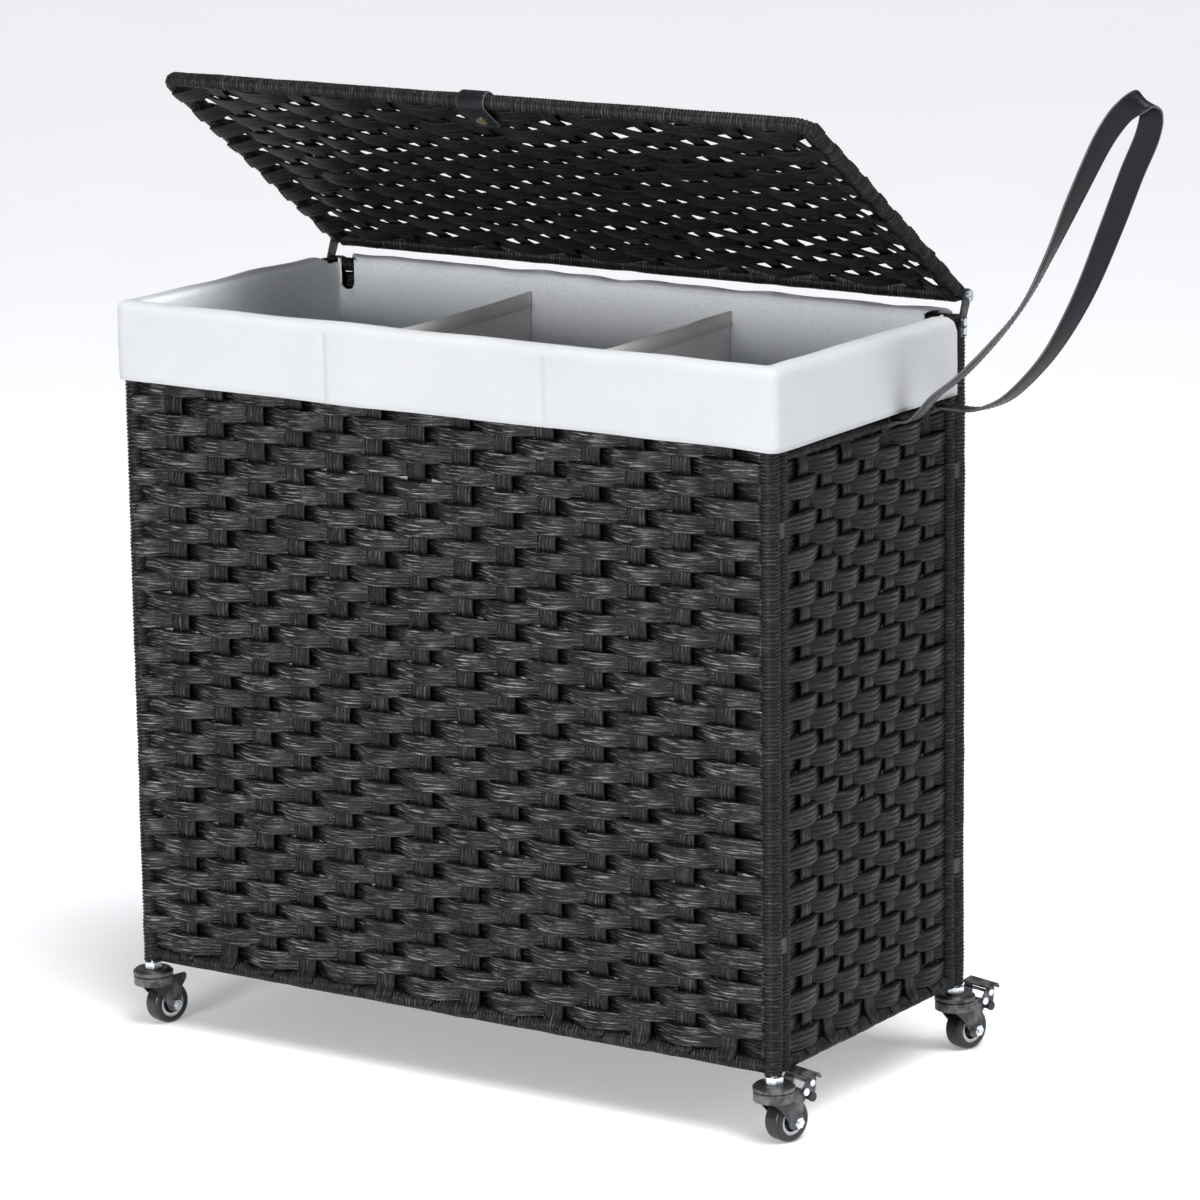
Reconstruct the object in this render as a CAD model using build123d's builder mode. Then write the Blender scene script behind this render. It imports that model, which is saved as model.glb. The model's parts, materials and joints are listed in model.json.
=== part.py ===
"""A three-compartment laundry sorter: a woven basket with a hinged lid, a cloth liner and a pull
strap, on four small swivel casters.

Millimetres. X runs along the width, Y from front to back, Z up. The origin is on the floor under
the middle of the basket. The lid stands open and the strap stands raised.
"""

import os
from math import atan, cos, pi, radians, sin

from build123d import *

os.makedirs("parts", exist_ok=True)

# Basket
WIDTH = 610.0
DEPTH = 290.0
UNDERSIDE = 55.0  # height of the basket's lowest edge above the floor
RIM = 601.0  # top of the cloth over the rails
POST_R = 5.0
POST_BORE_R = 4.0
ROD_R = 4.0
WHIPPING = 2.0  # thickness of the strand wound round every post and rail
WEAVE = 8.0  # thickness of a woven panel
CLOTH = 1.5

# Lid
LID_OPEN = 35.0  # degrees above level
LID_REACH = 278.0  # hinge axis to the front rail's centre
LID_WEAVE = 6.0
HINGE_Y = 145.0
HINGE_Z = 612.5

# Liner
CUFF = 63.0
COMPARTMENTS = 3
DIVIDER_TOP = 585.0

# Strap
STRAP_W = 19.0
STRAP_T = 2.2
STRAP_RAIL_Z = 531.0

# Casters
WHEEL_R = 17.0
TYRE_W = 16.0
TRAIL = 13.0
TRAIL_TURN = radians(75.0)  # the trail's direction, measured from +X
CROWN_TOP = 43.0
SHEET = 1.5

# Worked out from the above
POST_X = WIDTH / 2 - POST_R - WHIPPING
POST_Y = DEPTH / 2 - POST_R - WHIPPING
SIDE_POST_Y = POST_Y - POST_R - ROD_R - 2 * WHIPPING
BOTTOM_RAIL = UNDERSIDE + ROD_R + WHIPPING
POST_FOOT = UNDERSIDE + WHIPPING
POST_TOP = RIM - 2 * WHIPPING
TOP_RAIL = POST_TOP - 1.0 - ROD_R
WEAVE_MARGIN = 8.0  # from a rail's centre to the woven panel's edge
STRAND_GAP = 1.6  # from a post's surface to the woven panel's edge
BASE_Z = BOTTOM_RAIL + 4.0
BASE_X = POST_X - 12.0
BASE_Y = POST_Y - 11.0
BRACKET_X = POST_X + POST_R  # inner face of a hinge bracket
PIVOT_R = 2.45
RUNNING = 0.05  # radial clearance of a turning fit

FRONT = Plane(origin=(0, -POST_Y, 0))
BACK = Plane(origin=(0, POST_Y, 0))
LEFT = Plane(origin=(-POST_X, 0, 0), x_dir=(0, 1, 0), z_dir=(0, 0, 1))
RIGHT = Plane(origin=(POST_X, 0, 0), x_dir=(0, 1, 0), z_dir=(0, 0, 1))


def write(part, name):
    """Label a finished piece and write its file."""
    part.label = name
    export_step(part, f"parts/{name}.step")


def across(ground, start, height):
    """The upright plane at one end of a wall, facing along it."""
    return Plane(
        origin=ground.from_local_coords((start, 0, height)), x_dir=ground.y_dir, z_dir=ground.x_dir
    )


# ---------------------------------------------------------------- wall frames


def wall_frame(ground, half_span, post_r, levels):
    """Two upright posts with horizontal rods welded between them."""
    with BuildPart() as frame:
        with BuildSketch(ground.offset(POST_FOOT)):
            with Locations((-half_span, 0), (half_span, 0)):
                Circle(post_r)
        extrude(amount=POST_TOP - POST_FOOT)
        for height, rod_r in levels:
            with BuildSketch(across(ground, -half_span, height)):
                Circle(rod_r)
            extrude(amount=2 * half_span)
    return frame.part


MAIN_RAILS = [(BOTTOM_RAIL, ROD_R), (TOP_RAIL, ROD_R)]
STRAP_RAIL_R = 3.0
BRACKET_SCREW_LEVELS = (585.5, 592.5)
BRACKET_SCREW_R = 1.5


def hollow_posts(frame, ground, screw_levels):
    """Bore the posts for the caster sockets and drill them for the bracket screws."""
    with BuildPart() as bored:
        add(frame)
        with BuildSketch(ground.offset(POST_FOOT)):
            with Locations((-POST_X, 0), (POST_X, 0)):
                Circle(POST_BORE_R)
        extrude(amount=POST_TOP - POST_FOOT, mode=Mode.SUBTRACT)
        for height in screw_levels:
            for side in (-1, 1):
                with BuildSketch(across(ground, side * POST_X, height)):
                    Circle(BRACKET_SCREW_R)
                extrude(amount=side * 2 * POST_R, mode=Mode.SUBTRACT)
    return bored.part


write(hollow_posts(wall_frame(FRONT, POST_X, POST_R, MAIN_RAILS), FRONT, ()), "front_frame")
write(
    hollow_posts(wall_frame(BACK, POST_X, POST_R, MAIN_RAILS), BACK, BRACKET_SCREW_LEVELS),
    "back_frame",
)
SIDE_RAILS = MAIN_RAILS + [(STRAP_RAIL_Z, STRAP_RAIL_R)]
write(wall_frame(LEFT, SIDE_POST_Y, ROD_R, SIDE_RAILS), "left_frame")
write(wall_frame(RIGHT, SIDE_POST_Y, ROD_R, SIDE_RAILS), "right_frame")


# ---------------------------------------------------------------- woven panels


def woven_panel(ground, half_span, spans):
    """The woven filling of a wall, as slabs between pairs of heights."""
    with BuildPart() as panel:
        for low, high in spans:
            with BuildSketch(ground.offset(low)):
                Rectangle(2 * half_span, WEAVE)
            extrude(amount=high - low)
    return panel.part


WEAVE_LOW = BOTTOM_RAIL + WEAVE_MARGIN
WEAVE_HIGH = TOP_RAIL - WEAVE_MARGIN
FULL_HEIGHT = [(WEAVE_LOW, WEAVE_HIGH)]
PAST_STRAP_RAIL = [(WEAVE_LOW, STRAP_RAIL_Z - 5.0), (STRAP_RAIL_Z + 5.0, WEAVE_HIGH)]
FRONT_HALF = POST_X - POST_R - STRAND_GAP
SIDE_HALF = SIDE_POST_Y - ROD_R - STRAND_GAP

write(woven_panel(FRONT, FRONT_HALF, FULL_HEIGHT), "front_weave")
write(woven_panel(BACK, FRONT_HALF, FULL_HEIGHT), "back_weave")
write(woven_panel(LEFT, SIDE_HALF, PAST_STRAP_RAIL), "left_weave")

# The right panel is open where the strap's two ends pass through it.
STRAP_ENDS_Y = (38.0, 106.0)
STRAP_SLOT = 24.0
with BuildPart() as right_weave:
    add(woven_panel(RIGHT, SIDE_HALF, PAST_STRAP_RAIL))
    with BuildSketch(RIGHT.offset(STRAP_RAIL_Z - 22.0)):
        with Locations(*[(y, 0) for y in STRAP_ENDS_Y]):
            Rectangle(STRAP_SLOT, 2 * WEAVE)
    extrude(amount=34.0, mode=Mode.SUBTRACT)
write(right_weave.part, "right_weave")


# ---------------------------------------------------------------- base

CROSS_ROD_R = 3.0
CROSS_ROD_Z = BASE_Z - 4.5
with BuildPart() as base_frame:
    with BuildLine(Plane.XY.offset(BASE_Z)) as base_loop:
        FilletPolyline(
            (-BASE_X, -BASE_Y), (BASE_X, -BASE_Y), (BASE_X, BASE_Y), (-BASE_X, BASE_Y),
            radius=8.0, close=True,
        )
    with BuildSketch(Plane(origin=base_loop.line @ 0, z_dir=base_loop.line % 0)):
        Circle(ROD_R)
    sweep()
    for x in (-WIDTH / 6, WIDTH / 6):
        with BuildSketch(Plane(origin=(x, -BASE_Y, CROSS_ROD_Z), x_dir=(1, 0, 0), z_dir=(0, 1, 0))):
            Circle(CROSS_ROD_R)
        extrude(amount=2 * BASE_Y)
write(base_frame.part, "base_frame")

with BuildPart() as base_weave:
    with BuildSketch(Plane.XY.offset(CROSS_ROD_Z + CROSS_ROD_R + 0.5)):
        RectangleRounded(
            2 * (BASE_X - ROD_R - STRAND_GAP), 2 * (BASE_Y - ROD_R - STRAND_GAP), radius=4.0
        )
    extrude(amount=5.0)
write(base_weave.part, "base_weave")


# ---------------------------------------------------------------- clips that join the frames

CLIP_WALL = 1.2
CLIP_LENGTH = 12.0


def double_clip(plane, first, second):
    """A moulded clip with two eyes, each given as (x, y, radius of the rod it holds)."""
    with BuildPart() as clip:
        with BuildSketch(plane):
            for x, y, rod_r in (first, second):
                with Locations((x, y)):
                    Circle(rod_r + CLIP_WALL)
            make_hull()
            for x, y, rod_r in (first, second):
                with Locations((x, y)):
                    Circle(rod_r, mode=Mode.SUBTRACT)
        extrude(amount=CLIP_LENGTH)
    return clip.part


with BuildPart() as corner_clips:
    for height in (150.0, 470.0):
        for sx in (-1, 1):
            for sy in (-1, 1):
                add(
                    double_clip(
                        Plane.XY.offset(height),
                        (sx * POST_X, sy * POST_Y, POST_R),
                        (sx * POST_X, sy * SIDE_POST_Y, ROD_R),
                    )
                )
write(corner_clips.part, "corner_clips")

with BuildPart() as base_clips:
    for x in (-150.0, 0.0, 150.0):
        for sy in (-1, 1):
            add(
                double_clip(
                    Plane(origin=(x - CLIP_LENGTH / 2, 0, 0), x_dir=(0, 1, 0), z_dir=(1, 0, 0)),
                    (sy * POST_Y, BOTTOM_RAIL, ROD_R),
                    (sy * BASE_Y, BASE_Z, ROD_R),
                )
            )
write(base_clips.part, "base_clips")


# ---------------------------------------------------------------- liner

LINER_X = POST_X - WEAVE / 2 - 3.0  # outer faces of the bag
LINER_Y = POST_Y - WEAVE / 2 - 2.5
LINER_FLOOR = BASE_Z + 6.0
CUFF_X = WIDTH / 2 + 4.0
CUFF_Y = DEPTH / 2 + 4.0
NOTCH_X = LINER_X - 18.0
NOTCH_DEPTH = 24.0
FAR = 60.0

with BuildPart() as liner:
    with BuildSketch(Plane.XY.offset(LINER_FLOOR)):
        Rectangle(2 * LINER_X, 2 * LINER_Y)
    extrude(amount=RIM - LINER_FLOOR)
    with BuildSketch(Plane.XY.offset(RIM)):
        Rectangle(2 * CUFF_X, 2 * CUFF_Y)
    extrude(amount=-CUFF)
    with BuildSketch(Plane.XY.offset(RIM - CUFF)):
        Rectangle(2 * (CUFF_X - CLOTH), 2 * (CUFF_Y - CLOTH))
        Rectangle(2 * LINER_X, 2 * LINER_Y, mode=Mode.SUBTRACT)
    extrude(amount=CUFF - CLOTH, mode=Mode.SUBTRACT)
    with BuildSketch(Plane.XY.offset(LINER_FLOOR + CLOTH)):
        Rectangle(2 * (LINER_X - CLOTH), 2 * (LINER_Y - CLOTH))
    extrude(amount=RIM, mode=Mode.SUBTRACT)
    # The cloth is cut away round each back post, and notched beside it for the hinge.
    for sx in (-1, 1):
        with BuildSketch(Plane.XY.offset(RIM - NOTCH_DEPTH)):
            with Locations((sx * (NOTCH_X + FAR / 2), LINER_Y - CLOTH + FAR / 2)):
                Rectangle(FAR, FAR)
        extrude(amount=FAR, mode=Mode.SUBTRACT)
        with BuildSketch(Plane.XY.offset(RIM - CUFF)):
            with Locations((sx * (LINER_X - 2.0 + FAR / 2), LINER_Y + CLOTH + FAR / 2)):
                Rectangle(FAR, FAR)
        extrude(amount=CUFF, mode=Mode.SUBTRACT)
write(liner.part, "liner")


def divider(x):
    """A cloth partition that runs from the front wall of the liner to the back."""
    with BuildPart() as sheet:
        with BuildSketch(Plane.XY.offset(LINER_FLOOR + CLOTH)):
            with Locations((x, 0)):
                Rectangle(2.0, 2 * (LINER_Y - CLOTH))
        extrude(amount=DIVIDER_TOP - LINER_FLOOR - CLOTH)
    return sheet.part


DIVIDER_X = (LINER_X - CLOTH) / COMPARTMENTS
write(divider(-DIVIDER_X), "liner_divider_left")
write(divider(DIVIDER_X), "liner_divider_right")


# ---------------------------------------------------------------- hinge

BRACKET_T = 2.0
BRACKET_END_R = 5.5


def upright(x):
    """A plane across X, with its own X along +Y and its own Y up."""
    return Plane(origin=(x, 0, 0), x_dir=(0, 1, 0), z_dir=(1, 0, 0))


def hinge_bracket(side):
    """A flat plate screwed to a back post, leaning back to the lid's pivot."""
    with BuildPart() as bracket:
        with BuildSketch(upright(side * BRACKET_X)):
            with BuildLine():
                Polyline(
                    (POST_Y - 4.5, 581.0), (POST_Y + 4.5, 581.0), (POST_Y + 5.0, 597.0),
                    (HINGE_Y + BRACKET_END_R, HINGE_Z), (HINGE_Y - BRACKET_END_R, HINGE_Z),
                    (POST_Y - 4.5, 597.0), (POST_Y - 4.5, 581.0),
                )
            make_face()
            with Locations((HINGE_Y, HINGE_Z)):
                Circle(BRACKET_END_R)
                Circle(PIVOT_R + RUNNING, mode=Mode.SUBTRACT)
            with Locations(*[(POST_Y, z) for z in BRACKET_SCREW_LEVELS]):
                Circle(BRACKET_SCREW_R, mode=Mode.SUBTRACT)
        extrude(amount=side * BRACKET_T)
    return bracket.part


write(hinge_bracket(-1), "hinge_bracket_left")
write(hinge_bracket(1), "hinge_bracket_right")

with BuildPart() as bracket_screws:
    for side in (-1, 1):
        for z in BRACKET_SCREW_LEVELS:
            seat = upright(side * (BRACKET_X + BRACKET_T))
            with BuildSketch(seat):
                with Locations((POST_Y, z)):
                    Circle(3.0)
            extrude(amount=side * 1.6)
            with BuildSketch(seat):
                with Locations((POST_Y, z)):
                    Circle(BRACKET_SCREW_R)
            extrude(amount=-side * 5.0)
write(bracket_screws.part, "bracket_screws")


# ---------------------------------------------------------------- lid

OPEN = radians(LID_OPEN)
# The lid's own plane: X along the hinge, Y from the hinge to the front edge, Z out of its underside.
LID = Plane(origin=(0, HINGE_Y, HINGE_Z), x_dir=(1, 0, 0), z_dir=(0, -sin(OPEN), -cos(OPEN)))
REAR_RAIL_R = 4.5
REAR_RAIL_HALF = BRACKET_X - 0.5
PIVOT_DEPTH = 9.0

with BuildPart() as lid_frame:
    with BuildLine(LID) as lid_loop:
        FilletPolyline(
            (-POST_X, 0), (-POST_X, LID_REACH), (POST_X, LID_REACH), (POST_X, 0), radius=10.0
        )
    with BuildSketch(Plane(origin=lid_loop.line @ 0, z_dir=lid_loop.line % 0)):
        Circle(ROD_R)
    sweep()
    with BuildSketch(upright(-REAR_RAIL_HALF)):
        with Locations((HINGE_Y, HINGE_Z)):
            Circle(REAR_RAIL_R)
    extrude(amount=2 * REAR_RAIL_HALF)
    for side in (-1, 1):
        with BuildSketch(upright(side * REAR_RAIL_HALF)):
            with Locations((HINGE_Y, HINGE_Z)):
                Circle(PIVOT_R)
        extrude(amount=-side * PIVOT_DEPTH, mode=Mode.SUBTRACT)
write(lid_frame.part, "lid_frame")

with BuildPart() as lid_pivot_screws:
    for side in (-1, 1):
        with BuildSketch(upright(side * (REAR_RAIL_HALF - PIVOT_DEPTH))):
            with Locations((HINGE_Y, HINGE_Z)):
                Circle(PIVOT_R)
        extrude(amount=side * (PIVOT_DEPTH + BRACKET_T + 1.0))
        with BuildSketch(upright(side * (BRACKET_X + BRACKET_T + 0.3))):
            with Locations((HINGE_Y, HINGE_Z)):
                Circle(4.4)
        extrude(amount=side * 2.5)
        with BuildSketch(upright(side * (BRACKET_X + BRACKET_T + 1.8))):
            with Locations((HINGE_Y, HINGE_Z)):
                Rectangle(9.0, 1.0)
                Rectangle(1.0, 9.0)
        extrude(amount=side * 2.0, mode=Mode.SUBTRACT)
write(lid_pivot_screws.part, "lid_pivot_screws")

SNAP_Y = LID_REACH - 16.0
SNAP_R = 1.5
LID_MARGIN = 7.0
with BuildPart() as lid_weave:
    with BuildSketch(LID.offset(-LID_WEAVE / 2)):
        with Locations((0, LID_REACH / 2)):
            Rectangle(2 * (POST_X - ROD_R - STRAND_GAP), LID_REACH - 2 * LID_MARGIN)
        with Locations((0, SNAP_Y)):
            Circle(SNAP_R, mode=Mode.SUBTRACT)
    extrude(amount=LID_WEAVE)
write(lid_weave.part, "lid_weave")

# Pull tab: a leather strip folded round the front rail, its two ends snapped together.
TAB_W = 25.0
TAB_INNER = 6.8  # half the gap inside the fold
TAB_T = 1.6
TAB_LENGTH = 26.0
LID_SECTION = Plane(origin=(-TAB_W / 2, HINGE_Y, HINGE_Z), x_dir=LID.y_dir, z_dir=(1, 0, 0))
with BuildPart() as pull_tab:
    with BuildSketch(LID_SECTION):
        with Locations((LID_REACH, 0)):
            Circle(TAB_INNER + TAB_T)
        with Locations((LID_REACH - TAB_LENGTH / 2, 0)):
            Rectangle(TAB_LENGTH, 2 * (TAB_INNER + TAB_T))
            Rectangle(TAB_LENGTH, 2 * TAB_INNER, mode=Mode.SUBTRACT)
        with Locations((LID_REACH, 0)):
            Circle(TAB_INNER, mode=Mode.SUBTRACT)
    extrude(amount=TAB_W)
    with BuildSketch(LID.offset(-2 * TAB_INNER)):
        with Locations((0, SNAP_Y)):
            Circle(SNAP_R)
    extrude(amount=4 * TAB_INNER, mode=Mode.SUBTRACT)
write(pull_tab.part, "pull_tab")

with BuildPart() as pull_tab_snap:
    face = TAB_INNER + TAB_T
    with BuildSketch(LID.offset(-face)):
        with Locations((0, SNAP_Y)):
            Circle(SNAP_R)
    extrude(amount=2 * face)
    for side in (-1, 1):
        with BuildSketch(LID.offset(side * face)):
            with Locations((0, SNAP_Y)):
                Circle(4.5)
        extrude(amount=side * 1.2)
write(pull_tab_snap.part, "pull_tab_snap")


# ---------------------------------------------------------------- pull strap

RAIL_LOOP_R = STRAP_RAIL_R + RUNNING
# Stations along the strap: x, y, z and how far its width has turned, in degrees, from lying along Y
# to standing across the loop.
STRAP_STATIONS = [
    (302.2, 38, 531, 0), (316, 38, 532.5, 0), (325, 39, 540, -1), (336, 41, 553, -1),
    (356, 44, 569.5, -1), (382, 48, 597, -6), (406, 52, 628, -14), (426, 56, 667, -4),
    (445, 60, 710, 17), (463.5, 64, 750, 33), (476, 66, 770, 46), (484.5, 68, 779, 56),
    (490.5, 72.5, 783.5, 66), (493.5, 78, 783.5, 72), (494.5, 83.5, 779, 75), (494, 87, 772, 74),
    (491.5, 89.5, 763, 70), (486, 92, 750, 64), (473.5, 95, 725.5, 58), (455, 98, 683, 50),
    (430, 101, 629, 31), (401, 103, 582, 14), (368, 105, 547.5, 9), (345, 106, 534.5, 6),
    (330, 106, 531, 2), (316, 106, 531, 0), (302.2, 106, 531, 0),
]
LOOP_NORMAL = Vector(0.8, 0, -0.6)


def strap_place(i):
    """Centre, tangent and width direction of the strap at station i."""
    x, y, z, turn = STRAP_STATIONS[i]
    before = STRAP_STATIONS[max(i - 1, 0)]
    after = STRAP_STATIONS[min(i + 1, len(STRAP_STATIONS) - 1)]
    tangent = (Vector(*after[:3]) - Vector(*before[:3])).normalized()
    width = Vector(0, 1, 0) * cos(radians(turn)) + LOOP_NORMAL * sin(radians(turn))
    width = (width - tangent * width.dot(tangent)).normalized()
    return Vector(x, y, z), tangent, width


def rivet_plane(first):
    """The middle of the strap's straight run from one station to the next, facing out of it."""
    start = Vector(*STRAP_STATIONS[first][:3])
    end = Vector(*STRAP_STATIONS[first + 1][:3])
    along = (end - start).normalized()
    return Plane(origin=(start + end) / 2, x_dir=along, z_dir=along.cross(Vector(0, 1, 0)))


RIVET_PLANES = [rivet_plane(0), rivet_plane(len(STRAP_STATIONS) - 2)]
RIVET_R = 1.5

with BuildPart() as handle_strap:
    for first in range(len(STRAP_STATIONS) - 1):
        for station in (first, first + 1):
            centre, tangent, width = strap_place(station)
            with BuildSketch(Plane(origin=centre, x_dir=width, z_dir=tangent)):
                Rectangle(STRAP_W, STRAP_T)
        loft(ruled=True)
    for y in STRAP_ENDS_Y:
        with BuildSketch(Plane(origin=(POST_X, y, STRAP_RAIL_Z), x_dir=(1, 0, 0), z_dir=(0, 1, 0))):
            Circle(RAIL_LOOP_R + STRAP_T)
            Circle(RAIL_LOOP_R, mode=Mode.SUBTRACT)
        extrude(amount=STRAP_W / 2, both=True)
    for plane in RIVET_PLANES:
        with BuildSketch(plane):
            Circle(RIVET_R)
        extrude(amount=STRAP_T, both=True, mode=Mode.SUBTRACT)
write(handle_strap.part, "handle_strap")

with BuildPart() as handle_rivets:
    for plane in RIVET_PLANES:
        with BuildSketch(plane.offset(-STRAP_T / 2)):
            Circle(RIVET_R)
        extrude(amount=STRAP_T)
        for side in (-1, 1):
            with BuildSketch(plane.offset(side * STRAP_T / 2)):
                Circle(3.5)
            extrude(amount=side * 1.2)
write(handle_rivets.part, "handle_rivets")


# ---------------------------------------------------------------- casters

STEM_R = 3.0
NECK_R = 3.5
COLLAR_LOW = 49.0
COLLAR_HIGH = 54.0
SOCKET_TOP = 82.0
CAP_R = 16.4
CAP_LOW = CROWN_TOP + 0.8
BALL_R = 1.2
BALL_CIRCLE_R = 11.5
BALL_Z = CROWN_TOP + 0.4
BALLS = 6  # in each caster
CHEEK_INNER = 9.4
CHEEK_TOP = CROWN_TOP - SHEET + 0.3
AXLE_R = 2.5
HEX_TO_CORNER = 1 / cos(pi / 6)

CASTERS = {
    "front_left": (-POST_X, -POST_Y),
    "front_right": (POST_X, -POST_Y),
    "back_left": (-POST_X, POST_Y),
    "back_right": (POST_X, POST_Y),
}
BRAKED = ("front_right", "back_right")


def caster_floor(place):
    """The floor plane under a stem, with X along the caster's trail and Y along its axle."""
    x, y = CASTERS[place]
    return Plane(origin=(x, y, 0), x_dir=(cos(TRAIL_TURN), sin(TRAIL_TURN), 0), z_dir=(0, 0, 1))


def side_on(floor, offset=0.0):
    """An upright plane along the trail, offset along the axle: its X is the trail and its Y is up."""
    return Plane(
        origin=floor.from_local_coords((0, offset, 0)), x_dir=floor.x_dir, z_dir=-floor.y_dir
    )


def axle_section(floor):
    """The upright plane through the axle: its X lies along the axle and its Y is the radius."""
    centre = floor.from_local_coords((TRAIL, 0, WHEEL_R))
    return Plane(origin=centre, x_dir=floor.y_dir, z_dir=floor.x_dir)


def cross_shaft(floor, trail, height, steps):
    """A stepped pin along the axle's direction; steps are (from, to, radius)."""
    with BuildPart() as shaft:
        for low, high, radius in steps:
            with BuildSketch(side_on(floor, low)):
                with Locations((trail, height)):
                    Circle(radius)
            extrude(amount=low - high)
    return shaft.part


def caster_stem(floor):
    """Threaded stem with a hex collar, and a riveted head under the fork's crown."""
    with BuildPart() as stem:
        with BuildSketch(side_on(floor)):
            Polygon(
                (0, 37.8), (5.0, 37.8), (6.0, 38.8), (6.0, CROWN_TOP - SHEET - 0.3),
                (NECK_R, CROWN_TOP - SHEET - 0.3), (NECK_R, COLLAR_LOW), (STEM_R, COLLAR_LOW),
                (STEM_R, SOCKET_TOP - 2.0), (STEM_R - 0.8, SOCKET_TOP - 1.0), (0, SOCKET_TOP - 1.0),
                align=None,
            )
        revolve(axis=Axis(floor.origin, (0, 0, 1)))
        with BuildSketch(floor.offset(COLLAR_LOW)):
            RegularPolygon(radius=6.5 * HEX_TO_CORNER, side_count=6)
        extrude(amount=COLLAR_HIGH - COLLAR_LOW)
    return stem.part


def swivel_cap(floor):
    """The upper race: a dished ring on the stem, grooved below for the balls."""
    with BuildPart() as cap:
        with BuildSketch(side_on(floor)):
            Polygon(
                (NECK_R, CAP_LOW), (CAP_R, CAP_LOW), (CAP_R, CAP_LOW + 2.6), (CAP_R - 2.4, 48.4),
                (CAP_R - 5.0, 48.8), (8.5, 48.2), (7.0, COLLAR_LOW), (NECK_R, COLLAR_LOW),
                align=None,
            )
            with Locations((BALL_CIRCLE_R, BALL_Z)):
                Circle(BALL_R + RUNNING, mode=Mode.SUBTRACT)
        revolve(axis=Axis(floor.origin, (0, 0, 1)))
    return cap.part


def fork(floor, braked):
    """Pressed crown with a skirt, and two cheeks that carry the axle and the brake's pin."""
    with BuildPart() as body:
        with BuildSketch(side_on(floor)):
            Polygon(
                (NECK_R + RUNNING, CROWN_TOP - SHEET), (CAP_R - 1.9, CROWN_TOP - SHEET),
                (CAP_R - 1.9, 35.5), (CAP_R - 0.4, 35.5), (CAP_R - 0.4, CROWN_TOP - 0.8),
                (CAP_R - 1.2, CROWN_TOP), (NECK_R + RUNNING, CROWN_TOP),
                align=None,
            )
            with Locations((BALL_CIRCLE_R, BALL_Z)):
                Circle(BALL_R + 2 * RUNNING, mode=Mode.SUBTRACT)
        revolve(axis=Axis(floor.origin, (0, 0, 1)))
        for side in (-1, 1):
            with BuildSketch(side_on(floor, side * CHEEK_INNER)):
                Polygon(
                    (-11.5, 36.0), (-4.5, 31.0), (3.0, 22.5), (TRAIL - 6.5, WHEEL_R),
                    (TRAIL + 6.5, WHEEL_R), (21.0, 31.0), (25.5, 37.0), (25.5, 40.4),
                    (24.1, CHEEK_TOP), (-11.5, CHEEK_TOP),
                    align=None,
                )
                with Locations((TRAIL, WHEEL_R)):
                    Circle(6.5)
                    Circle(AXLE_R, mode=Mode.SUBTRACT)
                if braked:
                    with Locations((BRAKE_PIVOT[0], BRAKE_PIVOT[1])):
                        Circle(BRAKE_PIN_R, mode=Mode.SUBTRACT)
            extrude(amount=-side * SHEET)
    return body.part


def axle(floor):
    """Bolt through both cheeks, with a hex head outside one and a nut outside the other."""
    outer = CHEEK_INNER + SHEET
    with BuildPart() as bolt:
        add(cross_shaft(floor, TRAIL, WHEEL_R, [(-outer - 6.0, outer + 1.0, AXLE_R)]))
        for start, thickness in ((outer, 3.5), (-outer - 4.5, 4.5)):
            with BuildSketch(side_on(floor, start)):
                with Locations((TRAIL, WHEEL_R)):
                    RegularPolygon(radius=4.0 * HEX_TO_CORNER, side_count=6)
            extrude(amount=-thickness)
    return bolt.part


HUB_R = 11.5


def hub(floor):
    """Wheel centre: a long bored boss, a thin web and a rim that carries the tyre."""
    section = axle_section(floor)
    with BuildPart() as centre:
        with BuildSketch(section):
            for half_width, low, high in (
                (CHEEK_INNER - 0.6, AXLE_R + RUNNING, 4.8), (3.0, 4.5, 9.0), (6.8, 8.6, HUB_R)
            ):
                with Locations((0, (low + high) / 2)):
                    Rectangle(2 * half_width, high - low)
        revolve(axis=Axis(section.origin, section.x_dir))
    return centre.part


def tyre(floor):
    """Solid tyre with rounded shoulders, moulded round the hub's rim."""
    section = axle_section(floor)
    with BuildPart() as ring:
        with BuildSketch(section) as profile:
            with Locations((0, (HUB_R + WHEEL_R) / 2)):
                Rectangle(TYRE_W, WHEEL_R - HUB_R)
            fillet(profile.vertices().group_by(Axis.Y)[-1], 3.5)
        revolve(axis=Axis(section.origin, section.x_dir))
    return ring.part


# Foot brake, in the caster's side view: along the trail, then up.
BRAKE_PIVOT = (21.0, 39.8)
BRAKE_LINK = (27.7, 45.6)
BRAKE_SHOE = (27.5, 34.5)
BRAKE_PIN_R = 1.5
ARM_INNER = CHEEK_INNER + SHEET + 0.4
ARM_T = 1.2
ARM_OUTER = ARM_INNER + ARM_T
SHOE_R = 3.2
PEDAL_HALF = 15.0


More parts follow.
